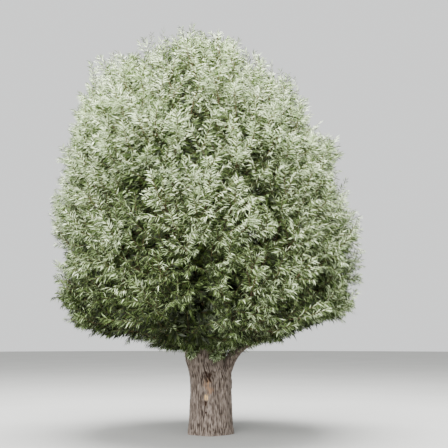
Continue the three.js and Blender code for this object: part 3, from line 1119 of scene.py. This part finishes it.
@dataclass
class Limb:
    """The stout low limb on the right, in the trunk's own bark."""

    plan: CrownPlan
    bark: FurrowedBark
    finish: Material
    root: Place = (0.205, -0.05, 0.82)
    girth: float = 0.096
    taper: float = 0.68
    rise: float = 1.35
    collar: float = 0.3  # share by which its foot is wider
    collar_fade: float = 0.12
    columns: int = 130
    rows: int = 80
    furrows: int = 9
    bark_share: float = 0.75  # of the trunk's relief
    shade: float = 0.3  # share by which its bark is painted darker than the trunk's: painted shade under the crown

    def curve(self, t: Array) -> Array:
        """Points of the limb's middle line, from the trunk to the foot of its mass."""
        mass = next(mass for mass in self.plan.masses if mass.stout)
        return self.plan.pole_curve(mass, np.array(self.root), self.rise, t)

    def build(self) -> None:
        """Makes the limb."""
        t = np.linspace(0, 1, self.rows)
        path = self.curve(t)
        length = np.concatenate([[0], np.cumsum(np.linalg.norm(np.diff(path, axis=0), axis=1))])
        angle = full_turn(self.columns)
        outward = rings_round(unit(np.gradient(path, axis=0)), BACK, angle)
        girth = self.girth * (1 - (1 - self.taper) * t)
        girth = girth * (1 + self.collar * np.exp(-length / self.collar_fade))
        smooth = path[:, None] + outward * girth[:, None, None]
        relief = self.bark.relief(smooth, *np.meshgrid(angle, length), self.furrows)
        points = smooth + outward * (self.bark_share * self.bark.height(smooth, relief))[..., None]
        parts = MeshParts("limb_bark")
        # The relief value, lowered by the limb's painted shade.
        parts.add(points, ring_triangles(*relief.shape), relief=(1 - self.shade) * crisp(relief))
        parts.build([self.finish], Slot.BARK, ["limb_right"])


@dataclass
class Boughs:
    """The poles, the stems that go on from them inside the foliage, and the branches that leave the stems."""

    plan: CrownPlan
    trunk: Trunk
    limb: Limb
    finish: Material
    pole_taper: float = 0.62
    pole_steps: int = 16
    pole_sides: int = 10
    collar: float = 0.55
    collar_fade: float = 0.08
    stem_share: float = 0.5  # of the way to the outermost leaf, up to which branches leave a stem
    stem_overrun: float = 0.1  # by which the stem goes on after that
    stem_tip: float = 0.012
    stem_steps: int = 8
    shoot_spread: float = 1.0
    shoot_knee: float = 0.55
    knee_lift: float = 0.06
    outer_lag: float = 0.8  # share by which the outermost branches leave the stem sooner
    spray_room: float = 0.2  # left for the last sprays beyond a branch's end
    ragged: Range = (-0.22, 0.1)  # how far the ends of branches stay short or stand out
    swelling_share: float = 0.8  # of the crown's swellings that the branches themselves reach into
    lift: float = 0.12  # of the branches' ends above the lowest leaves
    branch_girth: Range = (0.015, 0.004)  # at the root and at the tip
    branch_steps: int = 8
    branch_sides: int = 5
    relief: Range = (0.6, 0.5)  # of the bark: its middle, and how far it varies
    relief_noise: SoftNoise = SoftNoise(24.0, 1, 2.2, upright=0.3)

    def __post_init__(self) -> None:
        """Plans the branches of every mass, one row for each."""
        planned = [self._mass_branches(mass) for mass in self.plan.masses]
        self.starts, self.pulls, self.ends, self.stretch = (np.concatenate(each) for each in zip(*planned))
        self.owners = np.repeat(np.arange(len(planned)), [len(each[0]) for each in planned])

    def _mass_branches(self, mass: Mass) -> tuple[Array, Array, Array, Array]:
        """The branches of one mass, by the rule of the shoots of its solid.

        Args:
            mass: the mass.

        Returns:
            Where each branch starts, what it is pulled towards, where it ends and how far it stands out.
        """
        index = np.arange(mass.ring.branches)
        share = self.shoot_spread * np.sqrt(index / (mass.ring.branches - 1))
        spin = GOLDEN_ANGLE * index + mass.seed
        direction = mass.direction_off(self.plan.spread(mass, spin) * share, spin)
        stretch = between(self.ragged, np.array([draw(mass.seed, DrawFor.STRETCH + i) for i in index]))
        outer = self.plan.mass_reach(mass, direction, share) - self.spray_room + stretch
        outer = outer + self.swelling_share * self.plan.swelling(direction, self.plan.reach(direction))
        end = self.plan.hub + direction * outer[:, None]
        end[:, 2] = np.maximum(end[:, 2], self.plan.floor_at(end) + self.lift)
        inner = mass.ring.start
        leave = inner + (self.plan.axis_reach(mass) - inner) * self.stem_share * (1 - self.outer_lag * share)
        start = self.plan.hub + mass.axis * leave[:, None]
        length = np.linalg.norm(end - start, axis=1, keepdims=True)
        knee = start + (end - start) * self.shoot_knee + mass.axis * self.knee_lift * length
        return start, 2 * knee - (start + end) / 2, end, stretch

    def pole_path(self, mass: Mass, t: Array) -> Array:
        """Points of the middle line of a mass's pole or limb."""
        curve, seat = self.plan.pole_curve, self.trunk.seat(mass)
        return self.limb.curve(t) if mass.stout else curve(mass, seat, mass.ring.rise, t)

    def stem_path(self, mass: Mass, steps: int) -> Array:
        """Points of the stem that goes on from a pole, from its foot to its tip.

        Args:
            mass: the pole's mass.
            steps: how many points.

        Returns:
            The points.
        """
        start = mass.ring.start
        run = (self.plan.axis_reach(mass) - start) * (self.stem_share + self.stem_overrun)
        return self.plan.hub + mass.axis * np.linspace(start, start + run, steps)[:, None]

    def build(self) -> None:
        """Makes the poles, stems and branches."""
        parts = MeshParts("poles_and_branches")
        for mass in self.plan.masses:
            self._add(parts, *self._pole(mass), self.pole_sides)
        t = np.linspace(0, 1, self.branch_steps)[None, :, None]
        paths = bezier(self.starts[:, None], self.pulls[:, None], self.ends[:, None], t)
        girth = np.linspace(*self.branch_girth, self.branch_steps)
        self._add(parts, paths, np.broadcast_to(girth, paths.shape[:2]), self.branch_sides)
        parts.build([self.finish], Slot.POLE_BARK, self.plan.nodes(Solid.POLE))

    def _add(self, parts: MeshParts, paths: Array, radii: Array, sides: int) -> None:
        """Adds round wood whose bark is marked by a light noise.

        Args:
            parts: the piece that it joins.
            paths: limb, step and place.
            radii: limb and step.
            sides: corners of each ring.
        """
        points, triangles = tubes(paths, radii, sides)
        middle, amount = self.relief
        parts.add(points, triangles, relief=np.clip(middle + amount * self.relief_noise.at(points), 0, 1))

    def _pole(self, mass: Mass) -> tuple[Array, Array]:
        """One pole with its stem. The stout limb has only its stem here.

        Args:
            mass: the pole's mass.

        Returns:
            Its path and its radii.
        """
        t = np.linspace(0, 1, self.pole_steps)
        path = self.pole_path(mass, t)
        if mass.stout:
            tip = self.limb.girth * self.limb.taper
            path, girth = path[-2:], np.full(2, tip)
        else:
            tip = mass.ring.girth * self.pole_taper
            away = np.linalg.norm(path - path[0], axis=1)
            girth = between((mass.ring.girth, tip), t)
            girth = girth * (1 + self.collar * np.exp(-((away / self.collar_fade) ** 2)))
        path = np.concatenate([path, self.stem_path(mass, self.stem_steps)[1:]])
        radii = np.concatenate([girth, np.linspace(tip, self.stem_tip, self.stem_steps)[1:]])
        return path[None], radii[None]


# ---- leaves ----


@dataclass
class Sprays:
    """Leafy twigs as arrays with a row for each."""

    roots: Array
    directions: Array
    lengths: Array
    bends: Array
    faces: Array  # the side that each shows
    stretch: Array  # how far each may stand out of the outline
    tones: Array  # how light each is painted, by the painted light and shade of its place and random patches
    parts: Array  # the part of the crown that each belongs to

    @classmethod
    def joined(cls, groups: list["Sprays"]) -> "Sprays":
        """All the sprays of some groups."""
        return cls(*(np.concatenate([getattr(each, one.name) for each in groups]) for one in fields(cls)))

    def chosen(self, mask: Array) -> "Sprays":
        """The sprays that a mask picks."""
        return Sprays(*(getattr(self, one.name)[mask] for one in fields(self)))

    def points(self, share: Array) -> Array:
        """Places along every spray, at shares of its length."""
        length, s = self.lengths[:, None, None], share[..., None]
        return self.roots[:, None] + length * s * (self.directions[:, None] + s * self.bends[:, None])

    def at(self, share: float) -> Array:
        """One place on every spray, at a share of its length."""
        return self.points(np.full((len(self.lengths), 1), share))[:, 0]

    def tangents(self, share: Array) -> Array:
        """Directions along every spray, at shares of its length."""
        return unit(self.directions[:, None] + 2 * share[..., None] * self.bends[:, None])


@dataclass
class SprayRule:
    """How leafy twigs grow from the branches, along the poles and on the head."""

    boughs: Boughs
    seed: int = 7

    per_branch: int = 22
    inner_end: float = 0.05  # share of a branch that stays bare
    crowding: float = 0.44  # below 1, the sprays crowd towards the branch's end
    length: Range = (0.3, 0.54)
    shade_growth: float = 0.7  # by which the inner sprays of a branch are longer
    angle: Range = (1.1, 0.62)  # off the branch, at its inner and outer sprays
    angle_spread: float = 0.14

    per_pole: int = 60
    per_stem: int = 42
    limb_share: int = 3  # times as many on the stout limb
    pole_start: float = 0.08  # share of a pole that stays bare
    limb_start: float = 0.3
    pole_angle: Range = (0.5, 1.4)
    pole_length: Range = (0.22, 0.55)
    low_part: float = 0.45  # above the skirt, where the sprays of the poles belong to the head

    on_head: int = 190
    head_radius: float = 0.3
    head_fall: float = 0.16  # from the middle of the head to its rim
    head_middle: float = 0.1
    head_rise: Range = (0.15, 1.3)
    head_length: Range = (0.28, 0.58)
    head_angle: Range = (0.0, 0.5)
    head_droop: float = 0.12

    tufts: tuple[Range, ...] = ((-1.05, 1.22), (-2.1, 1.28), (1.6, 1.215))  # turn and height of each
    per_tuft: int = 8
    tuft_depth: float = 0.02  # of its roots in the bark
    tuft_turn: Range = (-1.0, 1.0)
    tuft_rise: Range = (-0.7, 0.9)
    tuft_length: Range = (0.08, 0.17)
    tuft_tone: float = 0.2

    side_from: Place = (0.3, 0.1, 0.95)  # direction that the turns round the wood are measured from
    spin_spread: float = 0.8
    outward: float = 0.35
    upturn: float = 0.14  # of the tips
    sag: float = 1.9  # for each unit of droop
    bend_spread: float = 0.08
    face_up: float = 0.55
    face_spread: float = 0.4

    leaf_room: float = 0.055
    lumps: float = 0.1
    lump_noise: SoftNoise = SoftNoise(3.0, 2, 2.6)
    small_lumps: float = 0.16
    small_lump_noise: SoftNoise = SoftNoise(11.0, 1, 5.2)
    ragged: float = 0.3
    stand_out: float = 0.18  # of the outline, at most
    sides: Range = (-2.5, 2.385)  # how far the tips of sprays reach to the left and right
    highest: float = 6.6
    least_slope: float = 0.3
    shortest: float = 0.09

    shade_depth: float = 0.58  # how deep in the crown the shaded sprays begin
    young_reach: Range = (1.15, 2.1)  # from the trunk, and up, where shade still has small leaves
    young_tone: Range = (-0.1, 0.16)  # painted shade on the low shoots round the head, and painted light on the high ones
    young_heights: Range = (1.45, 1.7)
    tone_place: float = 0.6  # share of a spray's length where its tone is read
    base_tone: float = 0.445
    # painted light: sprays are painted lighter the higher they are
    height_tone: float = 0.385
    height_fade: Range = (1.6, 4.6)
    side_tone: float = 0.045  # painted light and shade: lighter on the right low down, and on the left high up
    # painted shade: sprays deeper under the outline are painted darker
    shade_tone: float = 0.43
    shade_fade: Range = (0.1, 0.75)
    patch_tone: float = 0.08
    patch_noise: SoftNoise = SoftNoise(1.3, 2, 4.4)
    tone_spread: float = 0.05

    def __post_init__(self) -> None:
        """Finds the plan and the trunk, and starts the draws."""
        self.plan, self.trunk = self.boughs.plan, self.boughs.trunk
        self.rng = np.random.default_rng(self.seed)

    def grow(self) -> Sprays:
        """Grows all the sprays.

        Returns:
            The sprays.
        """
        grown = self._clip(Sprays.joined([self._on_branches(), self._on_poles(), self._on_head()]))
        tufts = self._tufts()
        sprays = Sprays.joined([grown, tufts])
        out = sprays.at(self.tone_place) - self.plan.hub
        distance = np.linalg.norm(out, axis=1)
        depth = self.plan.reach(out / distance[:, None]) - distance
        height = out[:, 2] + self.plan.hub_height
        wide, high = self.young_reach
        deep = depth > self.shade_depth
        young = deep & (np.hypot(out[:, 0], out[:, 1]) < wide) & (height < high)
        parts = np.where(young, Part.HEAD, sprays.parts)
        on_head = parts == Part.HEAD
        sprays.parts = np.where(deep & ~on_head, Part.INSIDE, parts)
        # Shoots round the head get no painted shade by depth; painted light and shade by height stands in for
        # it.
        sprays.tones = self._tones(out, np.where(on_head, 0, depth))
        painted_head_tone = between(self.young_tone, smoothstep(height, *self.young_heights))
        sprays.tones += np.where(on_head, painted_head_tone, 0)
        sprays.tones[-len(tufts.tones) :] += self.tuft_tone
        return sprays

    def _drawn(self, count: int, *ranges: Range) -> list[Array]:
        """As many even draws as asked for from each range."""
        return [self.rng.uniform(*ends, count) for ends in ranges]

    def _leaving(
        self, roots: Array, along: Array, off: Array, lengths: Array, parts: Array, stretch: Array | float = 0
    ) -> Sprays:
        """Sprays that leave the wood all round it.

        Args:
            roots: where each leaves the wood.
            along: the way the wood runs there.
            off: the angle between the spray and the wood.
            lengths: their lengths.
            parts: their parts of the crown.
            stretch: how far they may stand out of the outline.

        Returns:
            The sprays.
        """
        count, rng = len(roots), self.rng
        side = square_to(along, np.array(self.side_from))
        spin = (GOLDEN_ANGLE * np.arange(count) + self.spin_spread * rng.random(count))[:, None]
        lateral = turned(side, np.cross(along, side), spin)
        radial = unit(roots - self.plan.hub)
        droop = np.array([ring.droop for ring in RINGS] + [self.head_droop, 0])[parts][:, None]
        direction = turned(along, lateral, off[:, None]) + self.outward * radial - droop * UP
        return Sprays(
            roots=roots,
            directions=unit(direction),
            lengths=lengths,
            bends=(self.upturn - self.sag * droop) * UP + self.bend_spread * rng.normal(size=direction.shape),
            faces=unit(radial + self.face_up * UP + self.face_spread * rng.normal(size=direction.shape)),
            stretch=np.broadcast_to(stretch, (count,)),
            tones=np.zeros(count),
            parts=parts,
        )

    def _on_branches(self) -> Sprays:
        """Sprays all along the branches, crowded towards their ends.

        Returns:
            The sprays.
        """
        boughs, rng = self.boughs, self.rng
        shape = (len(boughs.starts), self.per_branch)
        share = (np.arange(self.per_branch) + rng.random(shape)) / self.per_branch
        t = between((self.inner_end, 1), share**self.crowding)[..., None]
        start, pull, end = boughs.starts[:, None], boughs.pulls[:, None], boughs.ends[:, None]
        roots = bezier(start, pull, end, t).reshape(-1, 3)
        along = unit((1 - t) * (pull - start) + t * (end - pull)).reshape(-1, 3)
        off = between(self.angle, share) + self.angle_spread * rng.normal(size=shape)
        rings = np.array([int(mass.ring.part) for mass in self.plan.masses])
        parts = np.repeat(rings[boughs.owners], self.per_branch)
        stretch = np.repeat(boughs.stretch, self.per_branch)
        lengths = rng.uniform(*self.length, len(roots)) * (1 + self.shade_growth * (1 - t.ravel()))
        return self._leaving(roots, along, off.ravel(), lengths, parts, stretch)

    def _on_poles(self) -> Sprays:
        """Sprays along the poles, the limb and the stems, which grow in the shade inside the crown.

        Returns:
            The sprays.
        """
        paths = []
        for mass in self.plan.masses:
            more = self.limb_share if mass.stout else 1
            bare = self.limb_start if mass.stout else self.pole_start
            paths.append(self.boughs.pole_path(mass, np.linspace(bare, 1, more * self.per_pole)))
            paths.append(self.boughs.stem_path(mass, more * self.per_stem))
        roots = np.concatenate(paths)
        along = np.concatenate([unit(np.gradient(path, axis=0)) for path in paths])
        off, lengths = self._drawn(len(roots), self.pole_angle, self.pole_length)
        low = roots[:, 2] < self.plan.skirt_height + self.low_part
        return self._leaving(roots, along, off, lengths, np.where(low, Part.HEAD, Part.INSIDE))

    def _on_head(self) -> Sprays:
        """Young shoots all over the head, which hide where the poles leave it.

        Returns:
            The sprays.
        """
        count = self.on_head
        angle = GOLDEN_ANGLE * np.arange(count)
        radius = self.head_radius * np.sqrt(self.rng.uniform(self.head_middle, 1, count))
        height = self.trunk.head_top - self.head_fall * (radius / self.head_radius) ** 2
        roots = self.trunk.place(angle, height, radius, height)
        rise, lengths, off = self._drawn(count, self.head_rise, self.head_length, self.head_angle)
        return self._leaving(roots, bearing(angle, rise), off, lengths, np.full(count, Part.HEAD))

    def _tufts(self) -> Sprays:
        """The small tufts of young shoots on the trunk under its head.

        Returns:
            The sprays.
        """
        angle, height = np.repeat(np.array(self.tufts), self.per_tuft, axis=0).T
        count, radius = len(angle), self.trunk.smooth_radius(angle, height) - self.tuft_depth
        roots = self.trunk.place(angle, height, radius, height)
        turn, rise, lengths = self._drawn(count, self.tuft_turn, self.tuft_rise, self.tuft_length)
        along = bearing(angle + turn, rise)
        return self._leaving(roots, along, np.zeros(count), lengths, np.full(count, Part.HEAD))

    def _clip(self, sprays: Sprays) -> Sprays:
        """Shortens the sprays that leave the crown's outline or hang too low, and drops the shortest.

        Args:
            sprays: the sprays as they grew.

        Returns:
            The sprays that are left.
        """
        tips = sprays.at(1.0) - self.plan.hub
        distance = np.linalg.norm(tips, axis=1)
        toward = tips / distance[:, None]
        reach = self.plan.reach(toward)
        allowed = reach + sprays.stretch - self.leaf_room + self.lumps * self.lump_noise.at(toward)
        allowed = allowed - self.ragged * self.rng.random(len(toward)) ** 2
        allowed = allowed + self.small_lumps * self.small_lump_noise.at(toward)
        allowed = np.minimum(allowed, reach + self.stand_out) + self.plan.swelling(toward, reach)
        allowed = np.minimum(allowed, (self.highest - self.plan.hub_height) / np.maximum(toward[:, 2], LEAST))
        slope = np.maximum(self.least_slope, dot(unit(sprays.directions + sprays.bends), toward)[:, 0])
        sprays.lengths = sprays.lengths - np.maximum(0, distance - allowed) / slope
        for limit, hand in zip(self.sides, (-1, 1)):
            tip, root = sprays.at(1.0)[:, 0], sprays.roots[:, 0]
            far = hand * (tip - limit) > 0
            sprays.lengths = sprays.lengths * np.where(far, (limit - root) / np.where(far, tip - root, 1), 1)
        sprays = sprays.chosen(sprays.lengths > self.shortest)
        tips = sprays.at(1.0)
        floor, root = self.plan.floor_at(tips), sprays.roots[:, 2]
        kept = np.where(tips[:, 2] < floor, (root - floor) / np.maximum(root - tips[:, 2], LEAST), 1)
        sprays.lengths = sprays.lengths * kept
        return sprays.chosen(sprays.lengths > self.shortest)

    def _tones(self, out: Array, depth: Array) -> Array:
        """How light each spray is painted: painted light high up, painted shade deep under the outline,
        painted light and shade that change sides with height, and random patches.

        Args:
            out: the middle of each spray, from the hub.
            depth: how deep it lies under the crown's outline.

        Returns:
            One tone for each spray, from 0, the darkest painted shade, to 1, the most painted light.
        """
        # Painted light by height, painted light and shade by side, and painted shade by depth under the
        # outline.
        height = smoothstep(out[:, 2] + self.plan.hub_height, *self.height_fade)
        shade = smoothstep(depth, *self.shade_fade)
        side = out[:, 0] * (1 - 2 * height)
        tones = self.base_tone + self.height_tone * height + self.side_tone * side - self.shade_tone * shade
        patches = self.patch_tone * self.patch_noise.at(out)
        return tones + patches + self.tone_spread * self.rng.normal(size=len(out))


@dataclass(frozen=True)
class LeafShape:
    """A leaf of two triangles: its size, the widest place of either side, and how many a spray has."""

    per_spray: int
    length: float
    width: float
    widest: Range
    faces: tuple[tuple[int, int, int], ...] = ((0, 2, 1), (1, 2, 3))

    def outline(self) -> Array:
        """The corners of the leaf, as shares of its length and its width."""
        left, right = self.widest
        return np.array([(0, 0), (left, 0.5), (right, -0.5), (1, 0)])


OUTER_LEAF = LeafShape(per_spray=46, length=0.105, width=0.0122, widest=(0.38, 0.5))
SHADE_LEAF = LeafShape(per_spray=17, length=0.16, width=0.044, widest=(0.42, 0.42))


@dataclass(frozen=True)
class LeafPiece:
    """One piece of leaves: the parts of the crown that it covers, and its leaves."""

    name: str
    parts: tuple[Part, ...]
    leaf: LeafShape = OUTER_LEAF

    def nodes(self, plan: CrownPlan) -> Sequence[str]:
        """The solids that the piece stands for.

        Args:
            plan: the crown's plan.

        Returns:
            Their names.
        """
        if Part.HEAD in self.parts:
            return TUFTS
        rings = RINGS if Part.INSIDE in self.parts else [RINGS[part] for part in self.parts]
        return plan.nodes(Solid.FOLIAGE, rings)


LEAF_PIECES = (
    LeafPiece("leaves_skirt", (Part.SKIRT,)),
    LeafPiece("leaves_waist", (Part.WAIST,)),
    LeafPiece("leaves_shoulder", (Part.SHOULDER,)),
    LeafPiece("leaves_crown", (Part.CROWN, Part.TOP)),
    LeafPiece("leaves_head", (Part.HEAD,)),
    LeafPiece("leaves_inside", (Part.INSIDE,), SHADE_LEAF),
)


@dataclass
class Leaves:
    """Narrow willow leaves, curled back, all along each spray, and the twigs that carry them."""

    plan: CrownPlan
    sprays: Sprays
    tints: list[Material]  # from silver to the darkest, which is painted shade
    bark: Material  # of the twigs
    seed: int = 11
    foot: float = 0.06  # share of a twig that stays bare
    place_spread: float = 0.3
    angle: Range = (1.05, 0.55)  # off the twig, at its foot and its tip
    angle_spread: float = 0.13
    roll: float = 0.42
    tilt: float = 0.5
    hang: float = 0.3
    curl: Range = (0.24, 0.14)  # usual, and how far it differs
    sickle: float = 0.09
    size_fall: float = 0.25  # from the largest leaves of a twig to those at its ends
    largest: float = 0.45  # share of a twig where they are
    size_spread: float = 0.1
    pale_share: Range = (0.44, 0.36)  # of the leaves turn their pale underside, low and at the top
    pale_fade: Range = (4.8, 6.3)
    pale_tone: Range = (0.1, 1.3)  # its tone on a dark spray, and how it grows with the spray's
    green_tone: Range = (0.06, 0.44)
    tone_spread: float = 0.16
    twig_girth: Range = (0.0042, 0.0016)  # at its root and its tip
    twig_sides: int = 3
    twig_steps: tuple[int, int] = (3, 2)  # rings of an outer and of a shaded twig
    twig_relief: float = 0.8

    def build(self) -> None:
        """Makes the leaves of every spray, a piece for each part of the crown."""
        for number, piece in enumerate(LEAF_PIECES):
            rng = np.random.default_rng(self.seed + number)
            some = self.sprays.chosen(np.isin(self.sprays.parts, piece.parts))
            points, tones = self.blades(piece.leaf, some, rng)
            parts = MeshParts(piece.name)
            parts.add(*self.mesh(piece.leaf, points, tones))
            parts.build(self.tints, Slot.FOLIAGE, piece.nodes(self.plan))

    def blades(self, leaf: LeafShape, sprays: Sprays, rng: Rng) -> tuple[Array, Array]:
        """Places every leaf of some sprays.

        Args:
            leaf: their shape.
            sprays: the twigs.
            rng: the draws.

        Returns:
            The points of each leaf, and its tone: its silver underside or green top, with the painted light
                and shade of its spray.
        """
        shape = (len(sprays.lengths), leaf.per_spray)
        number = np.arange(leaf.per_spray)
        share = (number + 0.5 + self.place_spread * rng.normal(size=shape)) / leaf.per_spray
        share = between((self.foot, 1), np.clip(share, 0, 1))
        roots, tangent = sprays.points(share), sprays.tangents(share)
        face = square_to(tangent, sprays.faces[:, None])
        hand = np.where(number % 2 == 0, 1.0, -1.0)[:, None]
        roll = rng.normal(0, self.roll, shape)[..., None]
        lateral = turned(np.cross(face, tangent) * hand, face, roll)
        off = (between(self.angle, share) + rng.normal(0, self.angle_spread, shape))[..., None]
        direction = unit(turned(tangent, lateral, off) - self.hang * UP)
        tilt = rng.normal(0, self.tilt, shape)[..., None]
        normal = square_to(direction, face)
        normal = turned(normal, np.cross(direction, normal), tilt)
        size = 1 - self.size_fall * (2 * (share - self.largest)) ** 2 + rng.normal(0, self.size_spread, shape)
        points = self._curl(leaf, roots, direction, normal, size[..., None], rng)
        # Both tones grow with the spray's tone, and so carry its painted light and shade.
        kinds = (self.pale_tone, self.green_tone)
        pale, green = (low + growth * sprays.tones[:, None] for low, growth in kinds)
        pale_share = between(self.pale_share, smoothstep(roots[..., 2], *self.pale_fade))
        tones = np.where(rng.random(shape) < pale_share, pale, green)
        tones = tones + self.tone_spread * rng.normal(size=shape)
        return points, tones.ravel()

    def _curl(
        self, leaf: LeafShape, roots: Array, direction: Array, normal: Array, size: Array, rng: Rng
    ) -> Array:
        """The points of each leaf's outline, curled back and a little sideways along its length.

        Args:
            leaf: their shape.
            roots: where the leaves leave their twigs.
            direction: where they point.
            normal: the side that they face.
            size: their size, 1 as usual.
            rng: the draws.

        Returns:
            The points, with the outline on the last axis but one.
        """
        side = np.cross(normal, direction)
        back = rng.normal(*self.curl, size.shape)
        sideways = rng.normal(0, self.sickle, size.shape)
        bend = (side * sideways - normal * back)[..., None, :]
        along, across = np.split(leaf.outline(), 2, axis=1)
        run = leaf.length * (direction[..., None, :] * along + bend * along**2)
        width = leaf.width * side[..., None, :] * across
        return roots[..., None, :] + size[..., None, :] * (run + width)

    def mesh(self, leaf: LeafShape, points: Array, tones: Array) -> tuple[Array, Array, Array]:
        """Turns leaves into triangles.

        Args:
            leaf: their shape.
            points: the corners of each leaf.
            tones: the tone of each leaf, with the painted light and shade of its spray.

        Returns:
            The points, the triangles and the number of each triangle's tint.
        """
        shift = np.arange(len(tones))[:, None, None] * len(leaf.outline())
        tints = len(self.tints)
        order = np.clip(np.floor((1 - tones) * tints), 0, tints - 1).astype(int)
        return points, np.array(leaf.faces) + shift, np.repeat(order, len(leaf.faces))

    def build_twigs(self) -> None:
        """Makes the twigs that carry the leaves."""
        parts = MeshParts("twigs")
        for shaded, steps in enumerate(self.twig_steps):
            some = self.sprays.chosen((self.sprays.parts == Part.INSIDE) == shaded)
            share = np.broadcast_to(np.linspace(0, 1, steps), (len(some.lengths), steps))
            radii = np.broadcast_to(np.linspace(*self.twig_girth, steps), share.shape)
            points, triangles = tubes(some.points(share), radii, self.twig_sides)
            parts.add(points, triangles, relief=np.full(len(points), self.twig_relief))
        parts.build([self.bark], Slot.POLE_BARK, self.plan.nodes(Solid.FOLIAGE))


# ---- studio ----


@dataclass(frozen=True)
class SoftLight:
    """A square soft light that faces the crown."""

    name: str
    place: Place
    size: float
    power: float  # watts
    aim: Place = (0.0, 0.0, 3.0)

    def build(self) -> None:
        """Hangs the light."""
        lamp = bpy.data.lights.new(self.name, "AREA")
        lamp.size, lamp.energy = self.size, self.power
        light = new_object(self.name, lamp)
        light.location = self.place
        light.rotation_euler = (Vector(self.aim) - Vector(self.place)).to_track_quat("-Z", "Y").to_euler()


@dataclass
class Studio:
    """The pale floor, the soft light and the camera at the photograph's angle."""

    floor_radius: float = 60.0
    floor_corners: int = 96
    eye: Place = (0.216, -13.0, 1.55)
    pitch: float = 7.65  # degrees above level
    lens: float = 65.3
    sensor: float = 36.0
    sky: Colour = (0.82, 0.83, 0.83, 1)
    sky_strength: float = 1.4
    lights: tuple[SoftLight, ...] = (
        SoftLight("key", (-4.0, -13.0, 8.0), 8.0, 3500.0),
        SoftLight("overhead", (0.0, 0.0, 14.5), 12.0, 11500.0),
    )

    def build(self) -> None:
        """Makes the floor, the sky, the lights and the camera."""
        self._floor()
        self._sky()
        for light in self.lights:
            light.build()
        camera = new_object("camera", bpy.data.cameras.new("camera"))
        camera.data.lens, camera.data.sensor_width = self.lens, self.sensor
        camera.location = self.eye
        camera.rotation_euler = (math.radians(90 + self.pitch), 0, 0)
        bpy.context.scene.camera = camera

    def _floor(self) -> None:
        """A wide round pale floor with its top at the ground."""
        turn = full_turn(self.floor_corners)
        mesh = bpy.data.meshes.new("floor")
        edge = self.floor_radius * bearing(turn, 0 * turn)
        mesh.from_pydata(edge.tolist(), [], [tuple(range(self.floor_corners))])
        mesh.materials.append(FLOOR_MATT.build())
        new_object("floor", mesh)

    def _sky(self) -> None:
        """A plain pale sky."""
        world = bpy.data.worlds.new("studio")
        world.use_nodes = True
        background = world.node_tree.nodes["Background"]
        background.inputs["Color"].default_value = self.sky
        background.inputs["Strength"].default_value = self.sky_strength
        bpy.context.scene.world = world


def main() -> None:
    """Builds the willow and its studio."""
    logging.basicConfig(level=logging.INFO, format="%(message)s")
    old_bark, young_bark = OLD_BARK.build(), YOUNG_BARK.build()
    tints = [finish.build() for finish in LEAF_FINISHES]
    plan = CrownPlan()
    bark = FurrowedBark()
    trunk, limb = Trunk(plan, bark, old_bark), Limb(plan, bark, old_bark)
    trunk.build()
    limb.build()
    boughs = Boughs(plan, trunk, limb, young_bark)
    boughs.build()
    sprays = SprayRule(boughs).grow()
    log.info("%d branches and %d sprays", len(boughs.starts), len(sprays.lengths))
    leaves = Leaves(plan, sprays, tints, young_bark)
    leaves.build_twigs()
    leaves.build()
    Studio().build()


if __name__ == "__main__":
    main()
